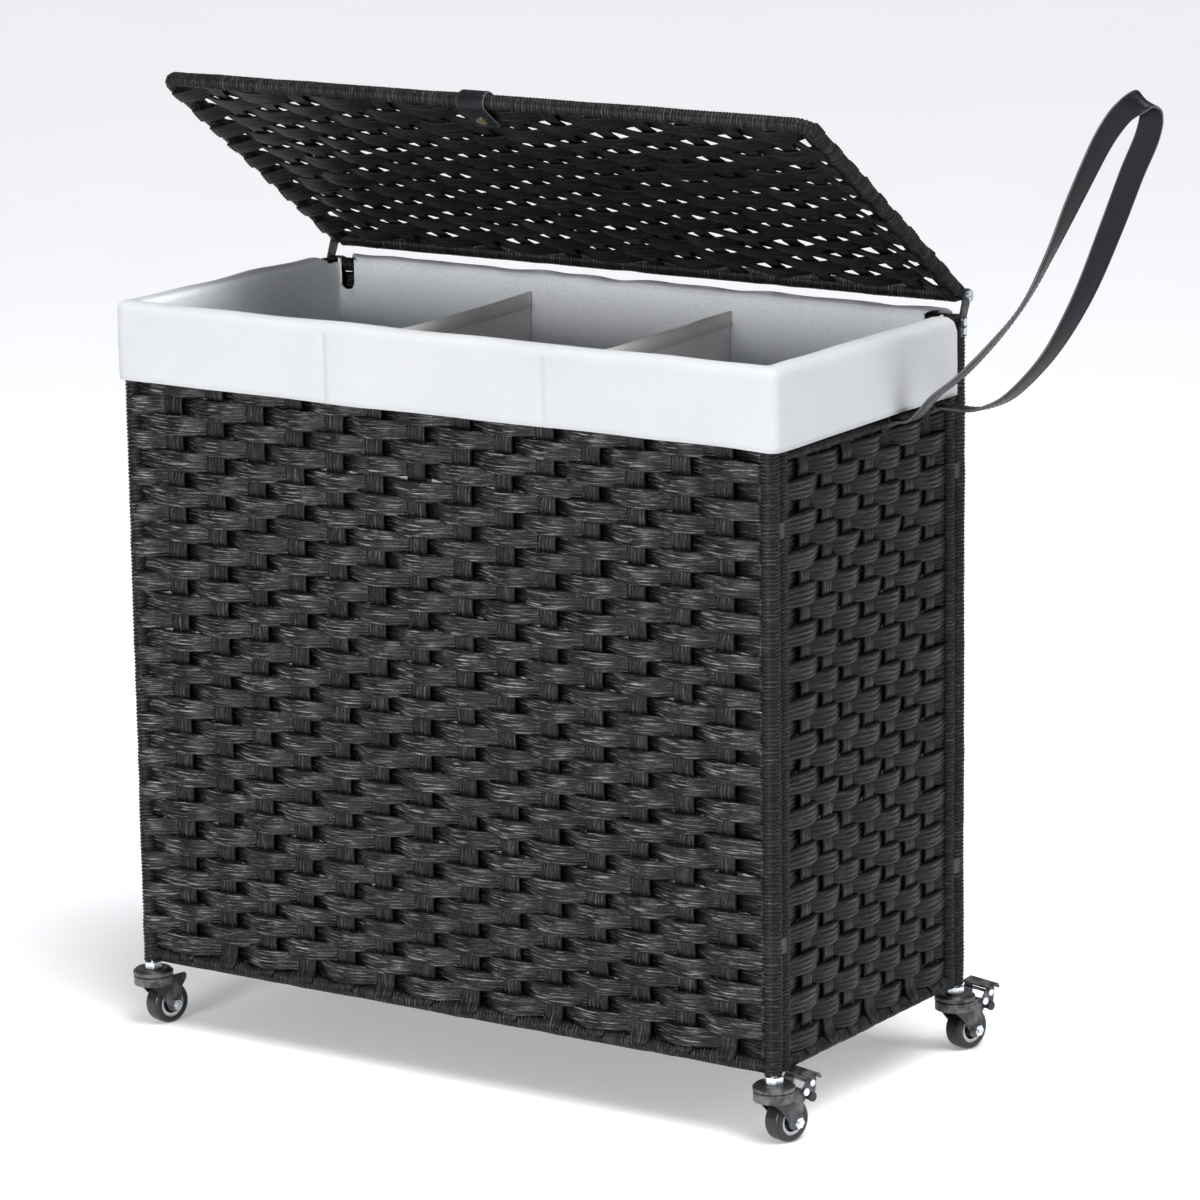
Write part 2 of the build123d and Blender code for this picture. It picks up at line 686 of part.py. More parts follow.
def brake_pedal(floor):
    """Pressed pedal: a wide tread sloping up to the back, on two arms outside the cheeks."""
    with BuildPart() as pedal:
        for side in (-1, 1):
            with BuildSketch(side_on(floor, side * ARM_INNER)):
                Polygon(
                    (18.2, 37.6), (18.2, 41.6), (24.2, 49.4), (33.0, 51.2), (32.2, 46.0),
                    (31.2, 34.0), (29.2, 31.6), (25.6, 31.8), (23.4, 36.4), (21.0, 36.6),
                    align=None,
                )
                with Locations(BRAKE_PIVOT):
                    Circle(BRAKE_PIN_R + RUNNING, mode=Mode.SUBTRACT)
                with Locations(BRAKE_LINK):
                    Circle(1.3, mode=Mode.SUBTRACT)
                with Locations(BRAKE_SHOE):
                    Circle(BRAKE_PIN_R, mode=Mode.SUBTRACT)
            extrude(amount=-side * ARM_T)
        with BuildSketch(side_on(floor)):
            Polygon(
                (24.0, 49.0), (33.5, 51.0), (34.8, 48.4), (36.0, 48.8), (34.6, 52.2),
                (33.6, 52.6), (24.0, 50.5),
                align=None,
            )
        extrude(amount=PEDAL_HALF, both=True)
    return pedal.part


def brake_shoe(floor):
    """Rubber bar that presses on the tyre, with end caps outside the pedal's arms."""
    steps = [
        (-8.8, 8.8, SHOE_R),
        (-ARM_OUTER - 0.5, ARM_OUTER + 0.5, BRAKE_PIN_R),
        (-ARM_OUTER - 2.0, -ARM_OUTER, SHOE_R + 0.4),
        (ARM_OUTER, ARM_OUTER + 2.0, SHOE_R + 0.4),
    ]
    return cross_shaft(floor, *BRAKE_SHOE, steps)


def riveted_pin(floor, place, radius, inner, head_r):
    """A cross pin with a flat head outside each arm."""
    steps = [
        (-inner - 1.2, inner + 1.2, radius),
        (-inner - 1.4, -inner, head_r),
        (inner, inner + 1.4, head_r),
    ]
    return cross_shaft(floor, *place, steps)


for name in CASTERS:
    ground = caster_floor(name)
    write(caster_stem(ground), f"caster_stem_{name}")
    write(swivel_cap(ground), f"caster_cap_{name}")
    write(fork(ground, name in BRAKED), f"caster_fork_{name}")
    write(axle(ground), f"caster_axle_{name}")
    write(hub(ground), f"caster_hub_{name}")
    write(tyre(ground), f"caster_tyre_{name}")

for name in BRAKED:
    ground = caster_floor(name)
    write(brake_pedal(ground), f"brake_pedal_{name}")
    write(brake_shoe(ground), f"brake_shoe_{name}")
    write(riveted_pin(ground, BRAKE_PIVOT, BRAKE_PIN_R, ARM_OUTER + 0.3, 3.0), f"brake_pin_{name}")
    write(riveted_pin(ground, BRAKE_LINK, 1.3, ARM_OUTER, 2.6), f"brake_link_pin_{name}")

with BuildPart() as caster_sockets:
    for x, y in CASTERS.values():
        foot = Plane(origin=(x, y, 0))
        with BuildSketch(foot.offset(POST_FOOT)):
            Circle(POST_BORE_R)
        extrude(amount=SOCKET_TOP - POST_FOOT)
        with BuildSketch(foot.offset(UNDERSIDE + 0.5)):
            Circle(POST_R)
        extrude(amount=POST_FOOT - UNDERSIDE - 0.5)
        with BuildSketch(foot.offset(UNDERSIDE)):
            Circle(STEM_R)
        extrude(amount=SOCKET_TOP, mode=Mode.SUBTRACT)
write(caster_sockets.part, "caster_sockets")

with BuildPart() as caster_balls:
    for x, y in CASTERS.values():
        with Locations((x, y, BALL_Z)):
            with PolarLocations(BALL_CIRCLE_R, BALLS):
                Sphere(BALL_R)
write(caster_balls.part, "caster_balls")
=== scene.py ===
"""The looks of a woven laundry sorter on casters: cane weave, cloth liner, leather and metal.

Metres, in the frame of the CAD model: X along the width, Y from front to back, Z up.
"""

import json
from math import cos, hypot, pi, radians, sin

import bpy
import numpy as np
from mathutils import Matrix, Vector, noise


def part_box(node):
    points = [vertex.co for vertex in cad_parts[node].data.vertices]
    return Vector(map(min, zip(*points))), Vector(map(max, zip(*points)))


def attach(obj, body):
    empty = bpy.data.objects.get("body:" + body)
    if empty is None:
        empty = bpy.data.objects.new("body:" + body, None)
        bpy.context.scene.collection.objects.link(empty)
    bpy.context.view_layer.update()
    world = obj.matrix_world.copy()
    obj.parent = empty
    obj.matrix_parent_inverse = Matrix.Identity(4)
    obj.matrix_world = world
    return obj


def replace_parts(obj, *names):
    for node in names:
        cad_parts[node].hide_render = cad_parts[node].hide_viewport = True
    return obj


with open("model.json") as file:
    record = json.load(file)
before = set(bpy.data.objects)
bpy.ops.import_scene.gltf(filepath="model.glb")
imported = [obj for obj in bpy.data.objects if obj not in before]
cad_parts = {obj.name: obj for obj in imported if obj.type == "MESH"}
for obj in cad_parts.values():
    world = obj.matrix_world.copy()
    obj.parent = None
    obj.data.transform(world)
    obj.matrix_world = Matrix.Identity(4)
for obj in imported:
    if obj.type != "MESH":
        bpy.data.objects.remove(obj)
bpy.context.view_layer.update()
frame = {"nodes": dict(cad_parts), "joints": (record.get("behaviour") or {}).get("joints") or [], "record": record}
MM = 0.001
chance = np.random.default_rng(7)

# ---------------------------------------------------------------- sizes read from the frame

POST_R = 5 * MM
ROD_R = 4 * MM
WHIPPED_POST_R = 7 * MM
WHIPPED_ROD_R = 6 * MM
front_low, front_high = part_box("front_frame")
POST_X = front_high.x - POST_R
POST_Y = -(front_low.y + front_high.y) / 2
BOTTOM_RAIL = front_low.z + ROD_R
POST_TOP = front_high.z
TOP_RAIL = POST_TOP - MM - ROD_R
SIDE_POST_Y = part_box("right_frame")[1].y - ROD_R

liner_low, liner_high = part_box("liner")
RIM = liner_high.z
CUFF_X = liner_high.x
CUFF_Y = liner_high.y
CUFF = 63 * MM
LINER_FLOOR = liner_low.z
LINER_X = POST_X - 7 * MM  # outer faces of the bag
LINER_Y = POST_Y - 6.5 * MM

JOINTS = {joint["name"]: joint for joint in frame["joints"]}
HINGE = Vector(JOINTS["lid_hinge"]["pos_m"])
STRAP_RAIL_Z = Vector(JOINTS["strap_swing"]["pos_m"]).z
lid_low, lid_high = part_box("lid_frame")
LID_REACH = hypot(lid_low.y + ROD_R - HINGE.y, lid_high.z - ROD_R - HINGE.z)
LID_FORWARD = Vector((0, lid_low.y + ROD_R - HINGE.y, lid_high.z - ROD_R - HINGE.z)) / LID_REACH


# ---------------------------------------------------------------- mesh helpers


def unit(vectors):
    """Each row of an array, made one long."""
    return vectors / np.linalg.norm(vectors, axis=-1, keepdims=True)


def run_along(path):
    """How far along a path each of its points is."""
    return np.concatenate([[0], np.cumsum(np.linalg.norm(np.diff(path, axis=0), axis=1))])


def directions(path, across):
    """Unit vectors across a path and out of it, at each of its points."""
    tangent = unit(np.gradient(path, axis=0))
    across = unit(across - tangent * (across * tangent).sum(1, keepdims=True))
    return across, np.cross(tangent, across)


class Bundle:
    """Gathers swept bands into one mesh, with a fibre coordinate at each point."""

    def __init__(self):
        self.points = []
        self.fibres = []
        self.lifts = []
        self.quads = []
        self.caps = []
        self.count = 0

    def sweep(self, path, across, section, widths=None, lift=1.0):
        """Sweep a closed section, given as (across, out) pairs, along a path of points.

        lift says how far each station stands out of the weave, from 0 to 1; the cane's material paints shade where
        it is low.
        """
        path = np.asarray(path, float)
        across, out = directions(path, np.asarray(across, float))
        wide = section[:, 0][None] * (np.ones(len(path)) if widths is None else widths)[:, None]
        rings = (
            path[:, None] + across[:, None] * wide[..., None]
            + out[:, None] * section[None, :, 1, None]
        )
        # The lift is lower where the section is thin, in its grooves and at its edges, so that the cane's painted
        # shade darkens them too.
        thick = np.abs(section[:, 1])
        proud = 0.3 + 0.7 * (thick / thick.max()) ** 2
        self.rings(rings, np.broadcast_to(lift, len(path))[:, None] * proud[None])

    def rings(self, rings, lift):
        """Join rings of points, given as an array of (ring, point, xyz), into a tube."""
        count, around = rings.shape[:2]
        i, j = np.meshgrid(np.arange(count - 1), np.arange(around), indexing="ij")
        here = self.count + i * around + j
        beside = self.count + i * around + (j + 1) % around
        self.quads.append(
            np.stack([here, beside, beside + around, here + around], -1).reshape(-1, 4)
        )
        first = list(range(self.count, self.count + around))
        last = [n + (count - 1) * around for n in first]
        self.caps += [first[::-1], last]
        fibre = np.empty((count, around, 3))
        fibre[..., 0] = run_along(rings.mean(1))[:, None]
        fibre[..., 1] = run_along(rings[0])[None]
        fibre[..., 2] = chance.random()
        self.lifts.append(np.broadcast_to(lift, (count, around)).ravel())
        self.points.append(rings.reshape(-1, 3))
        self.fibres.append(fibre.reshape(-1, 3))
        self.count += count * around

    def piece(self, name, material, body, slot):
        """Make the mesh object, and let it ride on a body."""
        mesh = bpy.data.meshes.new(name)
        faces = np.concatenate(self.quads).tolist() + self.caps
        mesh.from_pydata(np.concatenate(self.points), [], faces)
        fibre = mesh.attributes.new("fibre", "FLOAT_VECTOR", "POINT")
        fibre.data.foreach_set("vector", np.concatenate(self.fibres).ravel())
        mark(mesh, "lift", np.concatenate(self.lifts))
        mesh.polygons.foreach_set("use_smooth", [True] * len(faces))
        return finish_piece(mesh, name, material, body)


def mark(mesh, name, values):
    """Give each point of a mesh a number that its material reads."""
    mesh.attributes.new(name, "FLOAT", "POINT").data.foreach_set("value", values)


def put(name, data):
    """An object in the scene, of that mesh, light or camera."""
    made = bpy.data.objects.new(name, data)
    bpy.context.scene.collection.objects.link(made)
    return made


def finish_piece(mesh, name, material, body):
    """An object of that mesh with one material, riding on a body."""
    piece = put(name, mesh)
    mesh.materials.append(material)
    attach(piece, body)
    return piece


def ribbed(width, thickness, strands, steps=3, both_sides=False):
    """Section of a flat bundle of strands: grooved on its outer side, or on both."""
    w = np.linspace(0.5, -0.5, strands * steps + 1)
    rib = np.abs(np.sin(pi * strands * (w + 0.5))) ** 0.7
    crown = 1 - 0.3 * (2 * w) ** 2
    top = np.stack([w * width, thickness / 2 * crown * (0.55 + 0.45 * rib)], -1)
    if both_sides:
        bottom = top[::-1] * (1, -1)
    else:
        w = np.linspace(-0.5, 0.5, 4)
        bottom = np.stack([w * width, np.full(4, -0.4 * thickness)], -1)
    return np.concatenate([top, bottom])


def oval(width, thickness, points=8):
    """Section of a round or oval strand."""
    turn = np.linspace(0, 2 * pi, points, endpoint=False)
    return np.stack([np.cos(turn) * width / 2, np.sin(turn) * thickness / 2], -1)


# ---------------------------------------------------------------- materials


class Shading:
    """A material being built: short names for the nodes that most of them need."""

    def __init__(self, name, **settings):
        self.material = bpy.data.materials.new(name)
        self.material.use_nodes = True
        self.nodes = self.material.node_tree.nodes
        self.links = self.material.node_tree.links
        self.shader = self.nodes["Principled BSDF"]
        for setting, value in settings.items():
            socket = setting.replace("_", " ").title().replace("Ior", "IOR")
            self.shader.inputs[socket].default_value = value

    def node(self, kind, inputs=(), **settings):
        made = self.nodes.new("ShaderNode" + kind)
        for key, value in settings.items():
            setattr(made, key, value)
        for key, value in dict(inputs).items():
            if isinstance(value, bpy.types.NodeSocket):
                self.links.new(value, made.inputs[key])
            else:
                made.inputs[key].default_value = value
        return made

    def stretched(self, source, scale):
        """A coordinate scaled differently along each axis."""
        return self.node("VectorMath", {0: source, 1: scale}, operation="MULTIPLY").outputs[0]

    def fibre(self):
        return self.node("Attribute", attribute_name="fibre").outputs["Vector"]

    def place(self):
        return self.node("TexCoord").outputs["Object"]

    def noise(self, vector, scale=1.0, detail=2.0, rough=0.5):
        inputs = {"Vector": vector, "Scale": scale, "Detail": detail, "Roughness": rough}
        return self.node("TexNoise", inputs).outputs["Fac"]

    def ramp(self, value, stops):
        made = self.node("ValToRGB", {"Fac": value})
        made.color_ramp.elements[0].position, made.color_ramp.elements[0].color = stops[0]
        made.color_ramp.elements[1].position, made.color_ramp.elements[1].color = stops[-1]
        for position, colour in stops[1:-1]:
            made.color_ramp.elements.new(position).color = colour
        return made.outputs["Color"]

    def mix(self, factor, first, second):
        inputs = {0: factor, 6: first, 7: second}
        return self.node("Mix", inputs, data_type="RGBA").outputs[2]

    def between(self, value, low, high, to_low=0.0, to_high=1.0):
        inputs = {
            "Value": value, "From Min": low, "From Max": high, "To Min": to_low, "To Max": to_high
        }
        return self.node("MapRange", inputs).outputs["Result"]

    def math(self, operation, first, second=0.0):
        return self.node("Math", {0: first, 1: second}, operation=operation).outputs[0]

    def colour(self, socket):
        self.links.new(socket, self.shader.inputs["Base Color"])

    def roughness(self, socket):
        self.links.new(socket, self.shader.inputs["Roughness"])

    def bump(self, *layers):
        """Stack bumps, each given as (height, strength, distance in metres)."""
        normal = None
        for height, strength, distance in layers:
            inputs = {"Height": height, "Strength": strength, "Distance": distance}
            if normal is not None:
                inputs["Normal"] = normal
            normal = self.node("Bump", inputs).outputs["Normal"]
        self.links.new(normal, self.shader.inputs["Normal"])


def grey(level, blue=0.0):
    """A grey, tinted towards blue, or towards brown when blue is negative."""
    return (level, level * (1 + blue / 3), level * (1 + blue), 1)


def times(shade, factor):
    """A shade made lighter or darker."""
    return tuple(c * factor for c in shade[:3]) + (1,)


def cane(name, shades, roughness, along=55.0, across=760.0, relief=0.42 * MM):
    """Paper-like cane: fine pale fibres run along each dark strand.

    The lift attribute darkens what lies deep in the weave: painted shade in its crevices and grooves.
    """
    look = Shading(name, roughness=0.5, specular_ior_level=0.14)
    fibre = look.fibre()
    streak = look.noise(look.stretched(fibre, (along, across, 37.0)), detail=3.0, rough=0.65)
    strand = look.noise(look.stretched(fibre, (18.0, 420.0, 91.0)), detail=1.0)
    patch = look.noise(look.place(), 22.0, 3.0)
    # Pale flecks along the fibres: part wear, part painted glints that brighten the fibres.
    wear_and_glint_fleck = look.noise(look.stretched(fibre, (400.0, 2600.0, 11.0)), detail=1.0)
    fibres = look.ramp(streak, [(0.42, shades[0]), (0.54, shades[1]), (0.67, shades[2])])
    warm = look.mix(look.between(strand, 0.45, 0.75, 0.0, 0.55), fibres, (0.030, 0.024, 0.020, 1))
    worn = look.mix(look.between(wear_and_glint_fleck, 0.66, 0.76, 0.0, 0.5), warm, (0.24, 0.23, 0.23, 1))
    faded = look.mix(look.between(patch, 0.35, 0.7, 0.0, 0.4), worn, shades[0])
    # Painted shade: what lies deep in the weave is mixed towards near black.
    lift = look.node("Attribute", attribute_name="lift").outputs["Fac"]
    shadowed = look.between(lift, 0.15, 0.95, 0.95, 0.0)
    look.colour(look.mix(shadowed, faded, (0.0015, 0.0015, 0.0015, 1)))
    look.roughness(look.between(streak, 0.35, 0.65, roughness + 0.14, roughness - 0.04))
    look.bump((streak, 0.9, relief), (strand, 0.5, 0.6 * relief))
    return look.material


def cloth(name, shade, shadow, inside=None, grain=0.4 * MM):
    """Non-woven cloth: a fine felted grain with faint clouding, and another shade on its inside, painted to stand
    in for the light inside the bag.
    """
    look = Shading(name, roughness=0.9, sheen_weight=0.2, sheen_roughness=0.5, specular_ior_level=0.2)
    place = look.place()
    felt = look.noise(place, 620.0, 4.0, 0.75)
    dimple = look.node("TexVoronoi", {"Vector": place, "Scale": 420.0}).outputs["Distance"]
    cloud = look.noise(place, 9.0, 3.0)
    base = look.mix(look.between(cloud, 0.3, 0.75), shade, shadow)
    # Painted light: the inside of the bag takes its own, paler colour in place of the light it lacks.
    if inside is not None:
        inner = look.node("Attribute", attribute_name="inner").outputs["Fac"]
        base = look.mix(inner, base, inside)
    look.colour(look.mix(look.between(felt, 0.35, 0.7, 0.0, 0.35), base, shadow))
    look.roughness(look.between(felt, 0.3, 0.7, 0.82, 0.98))
    look.bump((dimple, 0.35, grain), (felt, 0.5, grain), (cloud, 0.4, 4 * MM))
    return look.material


def leather(name, shade, edge):
    """Coated leather strip: fine grain, paler worn edges."""
    look = Shading(name, roughness=0.4, specular_ior_level=0.18)
    place = look.place()
    voronoi = look.node("TexVoronoi", {"Vector": place, "Scale": 950.0}, feature="SMOOTH_F1")
    cells = voronoi.outputs["Distance"]
    crease = look.noise(place, 260.0, 4.0, 0.6)
    wear = look.noise(place, 40.0, 3.0)
    base = look.mix(look.between(crease, 0.35, 0.75), shade, times(shade, 1.9))
    rim = look.node("Attribute", attribute_name="rim").outputs["Fac"]
    worn = look.math("MULTIPLY", rim, look.between(wear, 0.3, 0.7, 0.55, 1.0))
    look.colour(look.mix(worn, base, edge))
    look.roughness(look.between(crease, 0.3, 0.75, 0.34, 0.52))
    look.bump((cells, 0.5, 0.12 * MM), (crease, 0.35, 0.15 * MM))
    return look.material


def plated(name, shade, roughness, scratches=0.5):
    """Plated or polished metal with fine wear."""
    look = Shading(name, metallic=1.0)
    place = look.place()
    fine = look.noise(look.stretched(place, (900.0, 900.0, 3500.0)), detail=3.0)
    cloud = look.noise(place, 160.0, 3.0)
    look.colour(look.mix(look.between(cloud, 0.3, 0.75), shade, times(shade, 0.72)))
    look.roughness(look.between(fine, 0.3, 0.7, roughness, roughness + 0.16))
    look.bump((fine, scratches * 0.4, 0.04 * MM), (cloud, 0.2, 0.05 * MM))
    return look.material


def painted(name, shade, roughness, wear_shade, grain=500.0):
    """Satin coat on pressed steel: orange peel, rubbed paler where it stands proud."""
    look = Shading(name, specular_ior_level=0.32, coat_weight=0.12, coat_roughness=0.2)
    place = look.place()
    peel = look.noise(place, grain, 2.0)
    rub = look.noise(place, 120.0, 4.0, 0.6)
    proud = look.node("NewGeometry").outputs["Pointiness"]
    edge = look.math("MULTIPLY", look.between(proud, 0.53, 0.6), look.between(rub, 0.4, 0.6))
    base = look.mix(look.between(rub, 0.35, 0.7), shade, times(shade, 1.5))
    look.colour(look.mix(edge, base, wear_shade))
    look.roughness(look.between(rub, 0.3, 0.7, roughness - 0.04, roughness + 0.1))
    look.bump((peel, 0.25, 0.08 * MM), (rub, 0.2, 0.08 * MM))
    return look.material


def moulded(name, shade, roughness, marks=0.3):
    """Moulded plastic or rubber: a matt grain with scuffs."""
    look = Shading(name, specular_ior_level=0.36)
    place = look.place()
    grain = look.noise(place, 1400.0, 2.0)
    scuff = look.noise(look.stretched(place, (90.0, 90.0, 300.0)), detail=4.0, rough=0.6)
    paler = tuple(c + 0.05 * marks for c in shade[:3]) + (1,)
    look.colour(look.mix(look.between(scuff, 0.45, 0.75, 0.0, marks), shade, paler))
    look.roughness(look.between(scuff, 0.3, 0.75, roughness, roughness + 0.15))
    look.bump((grain, 0.25, 0.05 * MM), (scuff, 0.15, 0.1 * MM))
    return look.material


# All of these are one black cane, and their colours differ to stand in for light. The front wefts' pale fibres are
# a painted highlight, the stakes are painted darker as shade, the sides darker and bluer as painted shade and
# painted reflection, and the lid and base darkest as painted shade.
FRONT_CANE = cane("front_cane", [grey(0.001), grey(0.004), grey(0.28, 0.03)], 0.22, across=900)
STAKE_CANE = cane("stake_cane", [grey(0.001), grey(0.004), grey(0.09, -0.05)], 0.36, across=900)
SIDE_CANE = cane("side_cane", [grey(0.002), grey(0.007), grey(0.05, 0.14)], 0.34)
LID_CANE = cane("lid_cane", [grey(0.0015), grey(0.004), grey(0.014)], 0.46)
WHIPPED_CANE = cane("whipped_cane", [grey(0.003), grey(0.010), grey(0.06, 0.05)], 0.42, along=45.0)
# One white cloth inside and out. Its outside colours are painted dark, a painted shade that holds back the strong
# light on the cuff; its inside colour is painted much paler, a painted light for the shaded inside of the bag.
LINER_CLOTH = cloth(
    "liner_cloth", (0.45, 0.457, 0.47, 1), (0.40, 0.41, 0.43, 1), (0.82, 0.845, 0.88, 1)
)
BINDING = cloth("binding", (0.85, 0.86, 0.87, 1), (0.78, 0.80, 0.82, 1))
DIVIDER_CLOTH = cloth("divider_cloth", (0.74, 0.725, 0.71, 1), (0.64, 0.63, 0.62, 1))
THREAD = cloth("thread", (0.78, 0.78, 0.78, 1), (0.66, 0.66, 0.67, 1))
LEATHER = leather("leather", (0.0035, 0.0042, 0.0056, 1), (0.10, 0.103, 0.108, 1))
DARK_THREAD = moulded("dark_thread", (0.0025, 0.0025, 0.003, 1), 0.6)
STEEL = painted("frame_steel", (0.03, 0.03, 0.033, 1), 0.45, (0.2, 0.2, 0.2, 1))
BRACKET = painted("bracket_steel", (0.006, 0.0063, 0.007, 1), 0.42, (0.05, 0.05, 0.053, 1))
ZINC = plated("zinc", (0.72, 0.76, 0.80, 1), 0.2)
BRASS = plated("brass", (0.78, 0.62, 0.36, 1), 0.22)
BLACK_METAL = painted("black_metal", (0.012, 0.012, 0.013, 1), 0.33, (0.09, 0.09, 0.095, 1))
CLIP = moulded("clip_plastic", (0.02, 0.02, 0.02, 1), 0.5)
HUB_RIM = moulded("hub_rim", (0.50, 0.51, 0.52, 1), 0.4)
HUB_DARK = moulded("hub_dark", (0.018, 0.018, 0.019, 1), 0.5)
TYRE = moulded("tyre", (0.011, 0.011, 0.012, 1), 0.24, 0.15)
RUBBER = moulded("rubber", (0.015, 0.015, 0.016, 1), 0.5)


# ---------------------------------------------------------------- woven panels


class Panel:
    """A woven wall: across it, up it and out of it, with a rail or post on each side."""

    def __init__(self, origin, across, up, half, low, high, post_r, rail_r):
        self.origin = np.array(origin, float)
        self.across = np.array(across, float)
        self.up = np.array(up, float)
        self.out = np.cross(self.across, self.up)
        self.half = half
        self.low = low
        self.high = high
        self.post_r = post_r
        self.rail_r = rail_r

    def at(self, across, up, out):
        """Points from coordinates along the panel's own directions."""
        across, up, out = np.broadcast_arrays(across, up, out)
        return (
            self.origin + across[..., None] * self.across + up[..., None] * self.up
            + out[..., None] * self.out
        )


def wander(count, size):
    """A slow random wave, one value per step."""
    steps = chance.normal(0, size, count + 4)
    return np.convolve(steps, [0.15, 0.2, 0.3, 0.2, 0.15], "valid")


def spread(low, high, count, jitter):
    """Places of count strands between two ends, not quite evenly spaced."""
    gaps = 1 + np.clip(chance.normal(0, jitter, count + 1), -1.8 * jitter, 1.8 * jitter)
    return low + (high - low) * np.cumsum(gaps)[:-1] / gaps.sum()


def eased(start, end, steps, flat=0.85):
    """Values that swing from start to end like half a slightly flattened wave, without the last."""
    wave = np.cos(np.linspace(0, pi, steps, endpoint=False))
    return (start + end) / 2 + (start - end) / 2 * np.sign(wave) * np.abs(wave) ** flat


def course(knots, depth, steps):
    """A strand's places from knot to knot, and how far out it is at each."""
    places = [np.linspace(a, b, steps, endpoint=False) for a, b in zip(knots, knots[1:])]
    outs = [eased(a, b, steps) for a, b in zip(depth, depth[1:])]
    return np.concatenate(places), np.concatenate(outs)


def wrap(centre, radius, side, start, end, steps=7):
    """Points on an arc round a rail: (along the panel, out of it), from angle to angle."""
    turn = np.radians(np.linspace(start, end, steps))
    return centre + side * radius * np.cos(turn), radius * np.sin(turn)


def weft_path(stakes, signs, panel, swing, steps, ends):
    """Where one weft runs: its places across the panel and how far out of it."""
    clear = panel.post_r + 1.3 * MM
    places = [-panel.half, *stakes, panel.half]
    depth = [signs[0] * clear, *(s * swing for s in signs[1:-1]), signs[-1] * clear]
    for end in (0, -1):
        if not ends(signs[end], end):
            depth[end] = 0.0
    across, out = course(places, depth, steps)
    if ends(signs[0], 0):
        start_x, start_out = wrap(-panel.half, clear, -1, 215, 97)
        across = np.concatenate([start_x, across])
        out = np.concatenate([signs[0] * start_out, out])
    if ends(signs[-1], -1):
        end_x, end_out = wrap(panel.half, clear, 1, 90, 215)
        across = np.concatenate([across, end_x])
        out = np.concatenate([out, signs[-1] * end_out])
    return across, out


def weave_wefts(
    bundle, panel, stakes, rows, swing, section, ends, steps=7, over=1.0, under=0.88, between=0.96,
    skip=(), uneven=0.07,
):
    """The strands that run across a panel, over one stake and under the next.

    over, under and between are a strand's width at the stakes and halfway between them.
    """
    knots = np.array([-panel.half, *stakes, panel.half])
    halfway = (knots[1:] + knots[:-1]) / 2
    stops = np.sort(np.concatenate([knots, halfway]))
    for k, height in enumerate(rows):
        if k in skip:
            continue
        signs = np.array([1 if (i + k) % 2 else -1 for i in range(len(knots))])
        across, out = weft_path(stakes, signs, panel, swing, steps, ends)
        drift = np.interp(across, knots, wander(len(knots), 1.3 * MM))
        girths = np.full(len(stops), between)
        girths[::2] = np.where(signs > 0, over, under)
        width = np.interp(across, stops, girths + wander(len(stops), uneven))
        tilt = np.interp(across, knots, wander(len(knots), 0.16))
        # How far out the weft stands; the cane's material paints shade where it lies deep.
        lift = np.clip(0.5 + 0.5 * out / swing, 0.0, 1.0) ** 0.7
        path = panel.at(across, height + drift, out)
        lean = panel.up + tilt[:, None] * panel.out
        bundle.sweep(path, lean, section, width, lift)


SUNK = 2.5 * MM


def weave_stakes(bundle, panel, stakes, rows, swing, section, foot=True, steps=4, sunk=None):
    """The strands that run down a panel, from its top rail, and round its bottom one with a foot.

    sunk tells at which places and levels a stake passes well behind the middle of the panel.
    """
    levels = np.array([panel.high, *rows[::-1], panel.low])
    for i, place in enumerate(stakes):
        signs = [1 if (i + 1 + k) % 2 else -1 for k in range(len(rows))][::-1]
        clear = panel.rail_r + 0.7 * MM
        depth = [0.0, *(-s * swing for s in signs), clear if foot else 0.0]
        if sunk is not None:
            depth = [-SUNK if sunk(place, level) else d for d, level in zip(depth, levels)]
        up, out = course(levels, depth, steps)
        if foot:
            foot_up, foot_out = wrap(panel.low, clear, -1, 90, 235)
            up = np.concatenate([up, foot_up])
            out = np.concatenate([out, foot_out])
        drift = np.interp(-up, -levels, wander(len(levels), 1.0 * MM))
        width = np.interp(-up, -levels, 1 + wander(len(levels), 0.06))
        if foot:
            width = width * np.clip(0.72 + (up - panel.low) / (16 * MM), 0.72, 1.0)
        path = panel.at(place + drift, up, out)
        # How far out the stake stands; the cane's material paints shade where it lies deep.
        lift = np.clip(0.62 + 0.38 * out / swing, 0.0, 1.0)
        bundle.sweep(path, panel.across, section, width, lift)


PITCH = 14.3 * MM
UP = (0, 0, 1)
WIDE_WALL = (POST_X, BOTTOM_RAIL, TOP_RAIL, WHIPPED_POST_R, WHIPPED_ROD_R)
SIDE_WALL = (SIDE_POST_Y, BOTTOM_RAIL, TOP_RAIL, WHIPPED_ROD_R, WHIPPED_ROD_R)
WALLS = {
    "front": Panel((0, -POST_Y, 0), (1, 0, 0), UP, *WIDE_WALL),
    "back": Panel((0, POST_Y, 0), (-1, 0, 0), UP, *WIDE_WALL),
    "right": Panel((POST_X, 0, 0), (0, 1, 0), UP, *SIDE_WALL),
    "left": Panel((-POST_X, 0, 0), (0, -1, 0), UP, *SIDE_WALL),
}


def rows_between(low, high):
    """Heights of the wefts, a pitch apart and slightly uneven."""
    count = round((high - low) / PITCH) - 1
    return spread(low - 1.5 * MM, high + 1.5 * MM, count, 0.05)


def wrap_first_over(sign, end):
    """Wefts turn round the first post wherever they pass in front of it."""
    return end == 0 and sign > 0


def wrap_all(sign, end):
    """Wefts turn round the rails at both ends wherever they pass them."""
    return True


def wrap_none(sign, end):
    """Wefts end between the posts."""
    return False


